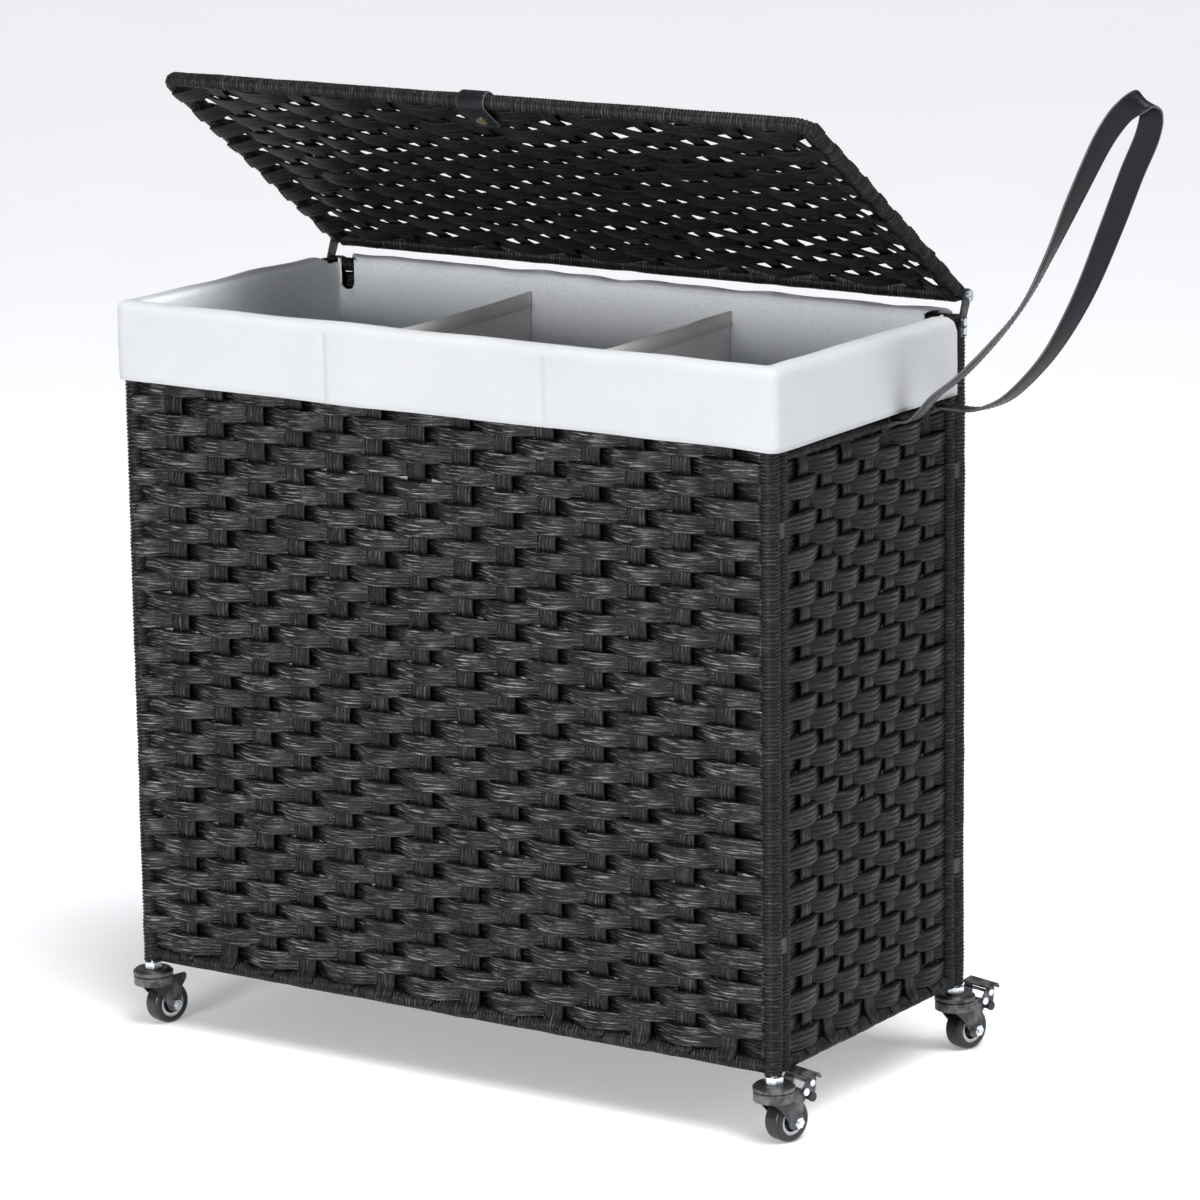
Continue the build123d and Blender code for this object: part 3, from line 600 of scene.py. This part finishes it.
for name in ("front", "back"):
    panel = WALLS[name]
    stakes = spread(-panel.half, panel.half, 14, 0.05)
    rows = rows_between(panel.low, panel.high)
    wefts = Bundle()
    weave_wefts(
        wefts, panel, stakes, rows, 5.0 * MM, ribbed(16.3 * MM, 3.2 * MM, 6), wrap_first_over,
        under=0.93,
    )
    wefts.piece(f"{name}_wefts", FRONT_CANE, "basket", "woven_cane")
    uprights = Bundle()
    weave_stakes(uprights, panel, stakes, rows, 1.2 * MM, ribbed(17.0 * MM, 2.6 * MM, 5))
    uprights.piece(f"{name}_stakes", STAKE_CANE, "basket", "woven_cane")
    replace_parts(bpy.data.objects[f"{name}_wefts"], f"{name}_weave")

STRAP_LOOPS = (38 * MM, 106 * MM)
RIVET_REACH = 12 * MM
RIVET_DROP = 18 * MM


def under_rivet(place, level):
    """Whether a stake is under one of the strap's rivets, which swing in close to the wall."""
    near_loop = min(abs(place - loop) for loop in STRAP_LOOPS) < RIVET_REACH
    return near_loop and -RIVET_DROP < level - STRAP_RAIL_Z < 1 * MM


for name in ("right", "left"):
    panel = WALLS[name]
    stakes = spread(-panel.half, panel.half, 7, 0.04)
    below = rows_between(panel.low, STRAP_RAIL_Z)
    above = rows_between(STRAP_RAIL_Z, panel.high)
    rows = np.concatenate([below, [STRAP_RAIL_Z], above])
    wefts = Bundle()
    weave_wefts(
        wefts, panel, stakes, rows, 3.8 * MM, ribbed(16.2 * MM, 4.4 * MM, 4, 4),
        wrap_none, under=0.84, skip=(len(below),),
    )
    wefts.piece(f"{name}_wefts", SIDE_CANE, "basket", "woven_cane")
    uprights = Bundle()
    weave_stakes(
        uprights, panel, stakes, rows, 1.4 * MM, ribbed(14.0 * MM, 2.4 * MM, 3),
        sunk=under_rivet if name == "right" else None,
    )
    uprights.piece(f"{name}_stakes", SIDE_CANE, "basket", "woven_cane")
    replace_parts(bpy.data.objects[f"{name}_wefts"], f"{name}_weave")


# ---------------------------------------------------------------- whipping on posts and rails


def whip(bundle, path, flat, radius, pitch=3.0 * MM, ridge=1.5 * MM, around=10):
    """A strand wound closely round a rod that follows the path; flat is a normal to the path."""
    path = np.asarray(path, float)
    runs = run_along(path)
    at = np.arange(0, runs[-1], pitch / 3)
    centre = np.stack([np.interp(at, runs, path[:, k]) for k in range(3)], -1)
    tangent = unit(np.gradient(centre, axis=0))
    flat = np.broadcast_to(np.asarray(flat, float), centre.shape)
    out = np.cross(tangent, flat)
    turn = np.linspace(0, 2 * pi, around, endpoint=False)
    phase = at[:, None] / pitch - turn[None] / (2 * pi)
    swell = np.interp(at, np.linspace(0, runs[-1], 40), chance.normal(0, 0.18 * MM, 40))
    rise = np.abs(np.sin(pi * phase))
    reach = radius + ridge * (rise - 0.6) + swell[:, None]
    reach += chance.normal(0, 0.06 * MM, reach.shape)
    rings = (
        centre[:, None] + flat[:, None] * (np.cos(turn) * reach)[..., None]
        + out[:, None] * (np.sin(turn) * reach)[..., None]
    )
    # Lift falls to near nothing in the grooves between turns, where the cane's material paints shade.
    bundle.rings(rings, 0.05 + 0.95 * rise)
    wound = bundle.fibres[-1].reshape(len(at), around, 3)
    wound[..., 0] = turn[None] * radius + at[:, None]
    wound[..., 1] = at[:, None]


posts = Bundle()
for sx in (-1, 1):
    for sy in (-1, 1):
        for y, radius in ((POST_Y, WHIPPED_POST_R), (SIDE_POST_Y, WHIPPED_ROD_R)):
            foot = (sx * POST_X, sy * y, BOTTOM_RAIL - ROD_R - 1.5 * MM)
            top = (sx * POST_X, sy * y, POST_TOP + 1.0 * MM)
            whip(posts, (foot, top), (1, 0, 0), radius)
posts.piece("post_whipping", WHIPPED_CANE, "basket", "woven_cane")

# Shares of the right upper rail that are wound. It is bare where the strap's loops ride on it.
WOUND_BESIDE_LOOPS = ((0.0, 0.61), (0.695, 0.882), (0.966, 1.0))

rails = Bundle()
for panel in WALLS.values():
    for level in (panel.low, panel.high):
        ends = panel.at(np.array([-panel.half, panel.half]), level, 0.0)
        whip(rails, ends, UP, 5.6 * MM)
for name in ("right", "left"):
    panel = WALLS[name]
    ends = panel.at(np.array([-panel.half, panel.half]), STRAP_RAIL_Z, 0.0)
    wound = WOUND_BESIDE_LOOPS if name == "right" else ((0.0, 1.0),)
    for start, end in wound:
        whip(rails, [ends[0] + (ends[1] - ends[0]) * f for f in (start, end)], UP, 4.4 * MM)
rails.piece("rail_whipping", WHIPPED_CANE, "basket", "woven_cane")


# ---------------------------------------------------------------- lid

LID = Panel(
    HINGE, (1, 0, 0), LID_FORWARD, POST_X, 0.0, LID_REACH, WHIPPED_ROD_R, WHIPPED_ROD_R
)
LID_CORNER = 10 * MM

lid_stakes = spread(-LID.half, LID.half, 14, 0.06)
lid_rows = spread(LID.low + 1 * MM, LID.high - 2 * MM, 18, 0.11)
lid_wefts = Bundle()
weave_wefts(
    lid_wefts, LID, lid_stakes, lid_rows, 2.8 * MM,
    ribbed(16.9 * MM, 3.0 * MM, 5, both_sides=True), wrap_all, steps=6, over=0.95, under=0.92,
    between=1.05, uneven=0.2,
)
lid_wefts.piece("lid_wefts", LID_CANE, "lid", "woven_cane")
lid_uprights = Bundle()
weave_stakes(
    lid_uprights, LID, lid_stakes, lid_rows, 1.0 * MM,
    ribbed(14.6 * MM, 2.2 * MM, 4, both_sides=True), foot=False,
)
lid_uprights.piece("lid_stakes", LID_CANE, "lid", "woven_cane")
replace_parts(bpy.data.objects["lid_wefts"], "lid_weave")

turn = np.linspace(0, pi / 2, 6)
corner_x = LID.half - LID_CORNER + LID_CORNER * np.cos(turn)
corner_y = LID_REACH - LID_CORNER + LID_CORNER * np.sin(turn)
edge_x = np.concatenate([[LID.half], corner_x, -corner_x[::-1], [-LID.half]])
edge_y = np.concatenate([[0.0], corner_y, corner_y[::-1], [0.0]])
lid_whipping = Bundle()
whip(lid_whipping, LID.at(edge_x, edge_y, 0.0), LID.out, 5.6 * MM, pitch=2.8 * MM)
rear = LID.at(np.array([-1, 1]) * (LID.half - 3 * MM), 0.0, 0.0)
whip(lid_whipping, rear, UP, 5.8 * MM, pitch=2.8 * MM)
lid_whipping.piece("lid_whipping", WHIPPED_CANE, "lid", "woven_cane")


# ---------------------------------------------------------------- base

base_low, base_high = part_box("base_weave")
base_z = (base_low.z + base_high.z) / 2
BASE_ROD_R = 3 * MM
BASE = Panel(
    (0, 0, base_z), (1, 0, 0), (0, -1, 0), base_high.x, base_low.y, base_high.y, BASE_ROD_R,
    BASE_ROD_R,
)
base_stakes = spread(-BASE.half, BASE.half, 14, 0.05)
base_rows = rows_between(BASE.low, BASE.high)
base_bands = Bundle()
weave_wefts(
    base_bands, BASE, base_stakes, base_rows, 1.6 * MM, ribbed(13.5 * MM, 1.6 * MM, 4, 2),
    wrap_none, steps=4,
)
weave_stakes(
    base_bands, BASE, base_stakes, base_rows, 0.5 * MM, ribbed(13.0 * MM, 1.4 * MM, 3, 2),
    foot=False, steps=3,
)
base_bands.piece("base_bands", LID_CANE, "basket", "woven_cane")
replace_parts(bpy.data.objects["base_bands"], "base_weave")


# ---------------------------------------------------------------- cloth liner

DIVIDER_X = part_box("liner_divider_right")[0].x + 1 * MM
DIVIDER_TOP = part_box("liner_divider_right")[1].z
NOTCH_FROM = LINER_X - 18 * MM
NOTCH_TO = LINER_X - 1.5 * MM
NOTCH_DEPTH = 24 * MM
CUFF_END_Y = LINER_Y - 15.5 * MM
CUFF_END_R = 12 * MM
CLOTH_T = 1.2 * MM
CORNER_R = 2.5 * MM
CUFF_CORNER_R = 9 * MM
WALL_TOP = RIM - 6 * MM  # where the bag's wall ends and its rim begins
CUFF_TOP = RIM - 6.6 * MM  # where the rim ends on the outside


FRONT_SIDE, RIGHT_SIDE, BACK_SIDE, LEFT_SIDE = range(4)
COLUMN_GAP = 6 * MM


def loop_columns():
    """Columns round the bag, anticlockwise from the front left.

    Each is a side, how far along it as a share of its half length, and a turn in degrees that is
    above zero in the corner after that side.
    """
    seams = [s * DIVIDER_X + d for s in (-1, 1) for d in (-1.4 * MM, 0, 1.4 * MM)]
    notch = np.linspace(NOTCH_FROM, NOTCH_TO, 13)
    notch = np.concatenate([notch, [NOTCH_FROM - 0.2 * MM, NOTCH_TO + 0.2 * MM]])
    cuff_end = CUFF_END_Y - CUFF_END_R * np.array([0, 0.06, 0.2, 0.4, 0.7, 1.0])
    extras = (seams, cuff_end, [*notch, *-notch], -cuff_end)
    halves = (LINER_X, LINER_Y, LINER_X, LINER_Y)
    columns = []
    for side in range(4):
        reach = halves[side] - 9 * MM
        inside = np.linspace(-reach, reach, round(2 * reach / COLUMN_GAP) + 1)
        named = [e for e in extras[side] if abs(e) < halves[side]]
        for place in np.unique(np.round([*inside, *named], 6)):
            columns.append((side, place / halves[side], 0.0))
        for turn in np.linspace(0, 90, 6)[1:-1]:
            columns.append((side, 1.0, turn))
    return columns


COLUMNS = loop_columns()
SIDE_DIRECTIONS = ((1, 0), (0, 1), (-1, 0), (0, -1))


def column_place(column, half_x, half_y, radius):
    """A column's (x, y) on a rounded rectangle, and the direction out of it."""
    side, fraction, turn = column
    along = Vector(SIDE_DIRECTIONS[side])
    outward = Vector((along.y, -along.x))
    half_along, half_out = (half_x, half_y) if side % 2 == 0 else (half_y, half_x)
    if turn == 0:
        limit = half_along - radius
        run = max(-limit, min(limit, fraction * half_along))
        return along * run + outward * half_out, outward
    angle = radians(turn)
    direction = outward * cos(angle) + along * sin(angle)
    centre = along * (half_along - radius) + outward * (half_out - radius)
    return centre + direction * radius, direction


def notch_dip(place):
    """How far the cloth is cut down at a place along the back wall."""
    half = (NOTCH_TO - NOTCH_FROM) / 2
    off = abs(abs(place) - (NOTCH_FROM + NOTCH_TO) / 2)
    if off > half:
        return 0.0
    return NOTCH_DEPTH - half + (half**2 - off**2) ** 0.5


def soft(x, y, z, scale, seed):
    """Smooth noise about zero."""
    return noise.noise(Vector((x * scale + seed, y * scale - seed, z * scale)))


INNER_STEPS = 40
# How far from the inside to the outside of the rim, and how many millimetres above its own height.
RIM_OVER = [
    (0.03, -4.4), (0.12, -2.2), (0.3, -0.5), (0.55, 0.0), (0.8, -0.6), (0.95, -2.6), (1.0, -6.0),
]
CUFF_STEPS = 14


def wall_rows(column):
    """One column's points from the floor up to the rim or the notch."""
    side, fraction, turn = column
    inner, outward = column_place(column, LINER_X - 1 * MM, LINER_Y - 1 * MM, CORNER_R)
    dip = notch_dip(fraction * LINER_X) if side == BACK_SIDE and turn == 0 else 0.0
    top = WALL_TOP - dip
    points = []
    for step in range(INNER_STEPS + 1):
        z = LINER_FLOOR + (top - LINER_FLOOR) * step / INNER_STEPS
        slack = min(1.0, (z - LINER_FLOOR) / 0.05, (RIM - z) / 0.06)
        bulge = slack * (2.2 * MM * soft(inner.x, inner.y, z, 9.0, 3.1) - 1.2 * MM)
        bulge += slack * 0.8 * MM * soft(inner.x, inner.y, z * 0.4, 45.0, 8.7)
        points.append(Vector((*(inner + outward * bulge), z)))
    return points


def side_sign(side):
    """Which way a side's columns run when they come to the back of the bag."""
    return 1 if side == RIGHT_SIDE else -1


def cuff_rows(column):
    """One column's points over the rim and down the outside, to the cuff's lower edge."""
    side, fraction, turn = column
    inner, outward = column_place(column, LINER_X - 1 * MM, LINER_Y - 1 * MM, CORNER_R)
    outer, outward = column_place(column, CUFF_X - 0.4 * MM, CUFF_Y - 0.4 * MM, CUFF_CORNER_R)
    on_end_wall = side in (RIGHT_SIDE, LEFT_SIDE) and turn == 0
    if on_end_wall:
        outer.y *= 1 - 0.12 * max(0.0, side_sign(side) * fraction) ** 3
    wave, pace = (2.6 * MM, 27.0) if side == BACK_SIDE else (1.5 * MM, 16.0)
    sag = wave * soft(outer.x, outer.y, 0, pace, 5.0)
    round_off = 0.0
    if on_end_wall and side_sign(side) * fraction > 0:
        near = max(0.0, 1 - (CUFF_END_Y - abs(fraction) * LINER_Y) / CUFF_END_R)
        round_off = 9 * MM * (1 - (1 - min(near, 1.0) ** 2) ** 0.5)
    points = []
    for across, drop in RIM_OVER:
        place = inner.lerp(outer, across)
        lower = round_off * min(1, across * 1.5)
        z = RIM + drop * MM + sag * min(1, across * 2) - 0.6 * MM - lower
        points.append(Vector((*place, z)))
    seam = side == FRONT_SIDE and abs(abs(fraction * LINER_X) - DIVIDER_X) < 0.5 * MM
    hem = RIM - CUFF + 2.2 * MM * soft(outer.x, outer.y, 1, 11.0, 2.0)
    for step in range(1, CUFF_STEPS + 1):
        part = step / CUFF_STEPS
        top = CUFF_TOP - round_off
        z = top + (hem - top) * part
        folds = 1.4 * MM * max(soft(outer.x, outer.y, z * 0.5, 24.0, 6.0), -0.3) * part**0.5
        tuck = -0.4 * MM * part**2 - (1.0 * MM if seam else 0.0)
        points.append(Vector((*(outer + outward * (folds + tuck)), z + sag * (1 - part))))
    return points


def has_cuff(column):
    """The cuff stops short of each back post and of the hinge notches."""
    side, fraction, turn = column
    if side == RIGHT_SIDE:
        return turn == 0 and fraction * LINER_Y <= CUFF_END_Y + 0.1 * MM
    if side == BACK_SIDE:
        return turn == 0 and abs(fraction * LINER_X) <= NOTCH_FROM
    if side == LEFT_SIDE:
        return turn > 0 or fraction * LINER_Y >= -CUFF_END_Y - 0.1 * MM
    return True


def cloth_piece(name, points, faces, material, thickness):
    """A sheet of cloth with a real thickness."""
    mesh = bpy.data.meshes.new(name)
    mesh.from_pydata(points, [], faces)
    mesh.polygons.foreach_set("use_smooth", [True] * len(faces))
    piece = finish_piece(mesh, name, material, "basket")
    thicken = piece.modifiers.new("thickness", "SOLIDIFY")
    thicken.thickness = thickness
    thicken.offset = 0.0
    return piece


def make_liner():
    """The bag, its rim and its turned-down cuff, in one piece of cloth."""
    points, faces = [], []
    rings = []
    for column in COLUMNS:
        rows = wall_rows(column)
        if has_cuff(column):
            rows += cuff_rows(column)
        rings.append(range(len(points), len(points) + len(rows)))
        points += rows
    for here, there in zip(rings, rings[1:] + rings[:1]):
        for a in range(min(len(here), len(there)) - 1):
            faces.append((here[a], there[a], there[a + 1], here[a + 1]))
    # The floor is one flat face across the bottom.
    floor = [ring[0] for ring in rings]
    faces.append(tuple(reversed(floor)))
    bag = cloth_piece("liner_bag", points, faces, LINER_CLOTH, CLOTH_T)
    # The wall and rim inside the bag are marked for the cloth's inside colour, which is painted light.
    inner = np.zeros(len(points))
    for ring in rings:
        inner[list(ring[: INNER_STEPS + 3])] = 1.0
    mark(bag.data, "inner", inner)
    return bag


liner_bag = make_liner()
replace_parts(liner_bag, "liner")


def notch_binding():
    """White binding sewn along the edge of each hinge notch."""
    bundle = Bundle()
    for side in (-1, 1):
        places = np.concatenate([
            [NOTCH_FROM], np.linspace(NOTCH_FROM, NOTCH_TO, 21), [NOTCH_TO]
        ])
        heights = np.array([WALL_TOP - notch_dip(p) for p in places])
        heights[0] = heights[-1] = RIM - 3 * MM
        path = np.stack([side * places, np.full(len(places), LINER_Y - 1 * MM), heights], -1)
        bundle.sweep(path, (0, 1, 0), oval(3.4 * MM, 2.4 * MM))
    return bundle.piece("notch_binding", BINDING, "basket", "liner_cloth")


notch_binding()

# Dividers: a sheet of cloth each, with a stitched hem along the top.
HEM = 12 * MM


def make_divider(name, x, seed):
    """A partition that hangs a little slack between the front and back walls, with its hem."""
    half_y = LINER_Y - 2 * MM
    count_y, count_z = 60, 50
    faces = []
    columns = []
    for j in range(count_y + 1):
        y = -half_y + 2 * half_y * j / count_y
        droop = 3.5 * MM * (1 - (y / half_y) ** 2)
        line = []
        for k in range(count_z + 1):
            part = k / count_z
            z = LINER_FLOOR + 2 * MM + (DIVIDER_TOP - droop - LINER_FLOOR - 2 * MM) * part
            free = min(1, (half_y - abs(y)) / 0.03) * min(1, part * 4)
            slack = free * 6 * MM * soft(0, y, z, 7.0, seed)
            slack += free * 1.5 * MM * soft(0, y, z, 26.0, seed)
            line.append((x + slack, y, z))
        columns.append(line)
    points = [p for line in columns for p in line]
    row = count_z + 1
    for j in range(count_y):
        for k in range(count_z):
            a = j * row + k
            faces.append((a, a + row, a + row + 1, a + 1))
    sheet = cloth_piece(name, points, faces, DIVIDER_CLOTH, 1.2 * MM)
    # The hem is turned over on both faces, and its lower edge is stitched.
    hem_points, hem_faces = [], []
    stitches = Bundle()
    for face in (-1, 1):
        start = len(hem_points)
        for line in columns:
            for down in (0.0, 0.5, 1.0):
                top = Vector(line[-1])
                low = Vector(line[-2])
                along = (low - top).normalized()
                proud = Vector((face * 0.9 * MM, 0, 0.5 * MM))
                hem_points.append(top + along * HEM * down + proud)
        for j in range(count_y):
            for k in range(2):
                a = start + 3 * j + k
                hem_faces.append((a, a + 3, a + 4, a + 1))
        for j in range(count_y):
            off_edge = Vector((face * 0.7 * MM, 0, 1.8 * MM))
            a = Vector(hem_points[start + 3 * j + 2]) + off_edge
            b = Vector(hem_points[start + 3 * j + 5]) + off_edge
            dash = [a.lerp(b, f) for f in (0.12, 0.5, 0.88)]
            stitches.sweep(dash, (0, 0, 1), oval(0.8 * MM, 0.7 * MM, 6))
    hem = cloth_piece(f"{name}_hem", hem_points, hem_faces, DIVIDER_CLOTH, 0.7 * MM)
    stitches.piece(f"{name}_stitches", THREAD, "basket", "divider_cloth")
    return sheet


for name, sx, seed in (("divider_left", -1, 1.7), ("divider_right", 1, 9.3)):
    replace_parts(make_divider(name, sx * DIVIDER_X, seed), f"liner_{name}")


# ---------------------------------------------------------------- leather strap and pull tab

STRAP_W = 19 * MM
STRAP_T = 2.2 * MM
LOOP_NORMAL = np.array((0.8, 0, -0.6))
# Places along the strap, in millimetres, and how far its width has turned from lying along Y.
STRAP_STATIONS = [
    (302.2, 38, 531, 0), (316, 38, 532.5, 0), (325, 39, 540, -1), (336, 41, 553, -1),
    (356, 44, 569.5, -1), (382, 48, 597, -6), (406, 52, 628, -14), (426, 56, 667, -4),
    (445, 60, 710, 17), (463.5, 64, 750, 33), (476, 66, 770, 46), (484.5, 68, 779, 56),
    (490.5, 72.5, 783.5, 66), (493.5, 78, 783.5, 72), (494.5, 83.5, 779, 75), (494, 87, 772, 74),
    (491.5, 89.5, 763, 70), (486, 92, 750, 64), (473.5, 95, 725.5, 58), (455, 98, 683, 50),
    (430, 101, 629, 31), (401, 103, 582, 14), (368, 105, 547.5, 9), (345, 106, 534.5, 6),
    (330, 106, 531, 2), (316, 106, 531, 0), (302.2, 106, 531, 0),
]


def smooth_path(knots, steps):
    """A Catmull-Rom curve through rows of numbers."""
    knots = np.asarray(knots, float)
    padded = np.concatenate([[2 * knots[0] - knots[1]], knots, [2 * knots[-1] - knots[-2]]])
    t = np.linspace(0, 1, steps, endpoint=False)[:, None]
    pieces = []
    for a, b, c, d in zip(padded, padded[1:], padded[2:], padded[3:]):
        pieces.append(
            b + t * (c - a) / 2 + t**2 * (a - 2.5 * b + 2 * c - d / 2)
            + t**3 * (1.5 * b - 1.5 * c + (d - a) / 2)
        )
    return np.concatenate([*pieces, knots[-1:]])


def strip_section(width, thickness):
    """A leather strip's section: flat faces, rounded and slightly thinned edges."""
    half, thin = width / 2, thickness / 2
    outline = [
        (half, 0), (half - 0.25 * thin, 0.62 * thin), (half - 0.9 * thin, 0.92 * thin),
        (half - 2.2 * MM, 0.84 * thin), (half - 3.0 * MM, thin), (0, 1.06 * thin),
    ]
    top = outline + [(-w, h) for w, h in outline[-2::-1]]
    return np.array(top + [(w, -h) for w, h in top[-2:0:-1]])


def mark_rim(piece, around, rim_points):
    """Mark the points of each ring that lie on the strip's edges, for the worn colour."""
    rim = np.isin(np.arange(len(piece.data.vertices)) % around, rim_points).astype(float)
    mark(piece.data, "rim", rim)


strap_line = smooth_path(STRAP_STATIONS, 6)
strap_path = strap_line[:, :3] * MM
strap_turn = np.radians(strap_line[:, 3])[:, None]
strap_across = np.array((0, 1, 0)) * np.cos(strap_turn) + LOOP_NORMAL * np.sin(strap_turn)
section = strip_section(STRAP_W, STRAP_T)
EDGE_POINTS = [0, 1, len(section) - 1, 9, 10, 11]  # the section's points on its two rounded edges
LOOP_POINTS = 24
strap = Bundle()
strap.sweep(strap_path, strap_across, section)
for y in STRAP_LOOPS:
    turn = np.linspace(0, 2 * pi, LOOP_POINTS + 1)[:-1]
    ring_r = 3.05 * MM + STRAP_T / 2
    ring_x = POST_X + ring_r * np.cos(turn)
    ring_z = STRAP_RAIL_Z + ring_r * np.sin(turn)
    ring = np.stack([ring_x, np.full(LOOP_POINTS, y), ring_z], -1)
    closed = np.concatenate([ring, ring[:1]])
    strap.sweep(closed, (0, 1, 0), section)
strap_piece = strap.piece("pull_strap", LEATHER, "strap", "strap_leather")
mark_rim(strap_piece, len(section), EDGE_POINTS)
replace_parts(strap_piece, "handle_strap")


def stitch_line(bundle, path, across, offset, lift, length=3.0 * MM, gap=1.4 * MM):
    """Separate stitches along a strip, a set distance from its middle line."""
    across, out = directions(path, across)
    line = path + across * offset + out * lift
    runs = run_along(line)
    for start in np.arange(gap, runs[-1] - length, length + gap):
        at = start + np.array([0.0, 0.15, 0.5, 0.85, 1.0]) * length
        dash = np.stack([np.interp(at, runs, line[:, k]) for k in range(3)], -1)
        turned = np.stack([np.interp(at, runs, across[:, k]) for k in range(3)], -1)
        bundle.sweep(dash, turned, oval(0.75 * MM, 0.6 * MM, 6), np.array([0.4, 1, 1, 1, 0.4]))


strap_stitches = Bundle()
for offset in (-7.4 * MM, 7.4 * MM):
    for lift in (-1.02 * MM, 1.02 * MM):
        stitch_line(strap_stitches, strap_path, strap_across, offset, lift)
strap_stitches.piece("strap_stitches", DARK_THREAD, "strap", "strap_leather")

# Pull tab: a strip folded round the lid's front rail.
TAB_W = 25 * MM
TAB_MID = 7.6 * MM
TAB_LENGTH = 26 * MM
arm = np.linspace(TAB_LENGTH, 0, 9)[:-1]
bend = np.linspace(-pi / 2, pi / 2, 13)
tab_up = LID_REACH + np.concatenate([-arm, TAB_MID * np.cos(bend), -arm[::-1]])
tab_out = np.concatenate([np.full(8, -TAB_MID), TAB_MID * np.sin(bend), np.full(8, TAB_MID)])
tab_path = LID.at(0.0, tab_up, tab_out)
tab = Bundle()
tab_section = strip_section(TAB_W, 1.7 * MM)
tab_width = np.ones(len(tab_path))
tab_width[[0, -1]] = 0.9
tab.sweep(tab_path, LID.across, tab_section, tab_width)
tab_piece = tab.piece("lid_tab", LEATHER, "lid", "strap_leather")
mark_rim(tab_piece, len(tab_section), EDGE_POINTS)
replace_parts(tab_piece, "pull_tab")
tab_stitches = Bundle()
tab_across = np.broadcast_to(LID.across, tab_path.shape)
for offset in (-10.4 * MM, 10.4 * MM):
    for lift in (0.75 * MM, -0.75 * MM):
        stitch_line(tab_stitches, tab_path, tab_across, offset, lift)
tab_stitches.piece("tab_stitches", DARK_THREAD, "lid", "strap_leather")


# ---------------------------------------------------------------- CAD parts that stay

CAD_LOOKS = {
    "frame_steel": STEEL, "clip_plastic": CLIP, "hinge_metal": BRACKET, "zinc": ZINC,
    "snap_brass": BRASS, "rivet_black": BLACK_METAL, "caster_metal": BLACK_METAL,
    "tyre_rubber": TYRE, "brake_rubber": RUBBER,
}


def dress(node, material):
    """Give a CAD node's object that material alone."""
    piece = frame["nodes"][node]
    piece.data.materials.clear()
    piece.data.materials.append(material)


for part in frame["record"]["subparts"]:
    if part["material_slot"] in CAD_LOOKS:
        dress(part["node"], CAD_LOOKS[part["material_slot"]])

HUB_RIM_R = 8.6 * MM


def dress_hub(node):
    """A pale rim round a dark web and boss."""
    dress(node, HUB_RIM)
    mesh = frame["nodes"][node].data
    mesh.materials.append(HUB_DARK)
    low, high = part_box(node)
    centre = (low + high) / 2
    axle = Vector(JOINTS[node.replace("caster_hub", "wheel_spin")]["axis"])
    for face in mesh.polygons:
        arm = face.center - centre
        from_axle = (arm - axle * arm.dot(axle)).length
        if from_axle < HUB_RIM_R + 0.1 * MM:
            face.material_index = 1


for node in frame["nodes"]:
    if node.startswith("caster_hub"):
        dress_hub(node)


# ---------------------------------------------------------------- floor, light and camera


# A wide pale floor.
look = Shading("floor", roughness=0.6, emission_color=(1, 1, 1, 1), emission_strength=0.24)
clouded = look.between(look.noise(look.place(), 3.0, 3.0), 0.3, 0.7)
look.colour(look.mix(clouded, (0.90, 0.91, 0.925, 1), (0.88, 0.89, 0.91, 1)))
floor = bpy.data.meshes.new("floor")
FLOOR_REACH = 40.0
corners = [(x * FLOOR_REACH, y * FLOOR_REACH, 0) for x, y in ((-1, -1), (1, -1), (1, 1), (-1, 1))]
floor.from_pydata(corners, [], [(0, 1, 2, 3)])
floor.materials.append(look.material)
put("floor", floor)

MIDDLE = Vector((0.0, 0.0, 0.35))


def area_light(name, place, size, power, colour=(1, 1, 1)):
    """A soft box that faces the basket's middle."""
    light = bpy.data.lights.new(name, "AREA")
    light.shape = "SQUARE"
    light.size = size
    light.energy = power
    light.color = colour
    lamp = put(name, light)
    lamp.location = place
    lamp.rotation_euler = (MIDDLE - Vector(place)).to_track_quat("-Z", "Y").to_euler()
    lamp.visible_camera = False


area_light("front", (0.0, -3.4, 0.85), 0.8, 84, (1.0, 0.99, 0.98))
area_light("side", (3.2, 0.9, 1.5), 1.4, 23, (1.0, 0.985, 0.975))
area_light("top", (0.7, -0.4, 2.8), 1.8, 60)

# A broad soft sun, so that the floor is as bright far off as it is near.
sun = bpy.data.lights.new("sun", "SUN")
sun.energy = 1.5
sun.angle = radians(30)
put("sun", sun).rotation_euler = Vector((0.5, -0.2, 0.9)).to_track_quat("Z", "Y").to_euler()

world = bpy.data.worlds.new("studio")
bpy.context.scene.world = world
world.use_nodes = True
background = world.node_tree.nodes["Background"]
background.inputs["Color"].default_value = (0.93, 0.96, 1.0, 1)
background.inputs["Strength"].default_value = 0.32
bpy.context.scene.view_settings.view_transform = "Standard"


def make_camera(place, yaw, pitch, roll, lens):
    """A camera turned from +Y towards +X by yaw, down by pitch, and rolled."""
    yaw, pitch, roll = radians(yaw), radians(pitch), radians(roll)
    forward = Vector((sin(yaw) * cos(pitch), cos(yaw) * cos(pitch), -sin(pitch)))
    right = Vector((cos(yaw), -sin(yaw), 0))
    up = right.cross(forward)
    turned_right = right * cos(roll) + up * sin(roll)
    turned_up = up * cos(roll) - right * sin(roll)
    camera = put("camera", bpy.data.cameras.new("camera"))
    camera.data.lens = lens
    camera.data.clip_end = 200
    axes = Matrix((turned_right, turned_up, -forward)).transposed().to_4x4()
    camera.matrix_world = Matrix.Translation(place) @ axes
    bpy.context.scene.camera = camera


make_camera((2.3623, -3.4771, 1.3100), -33.581, 12.699, -0.745, 162.3)
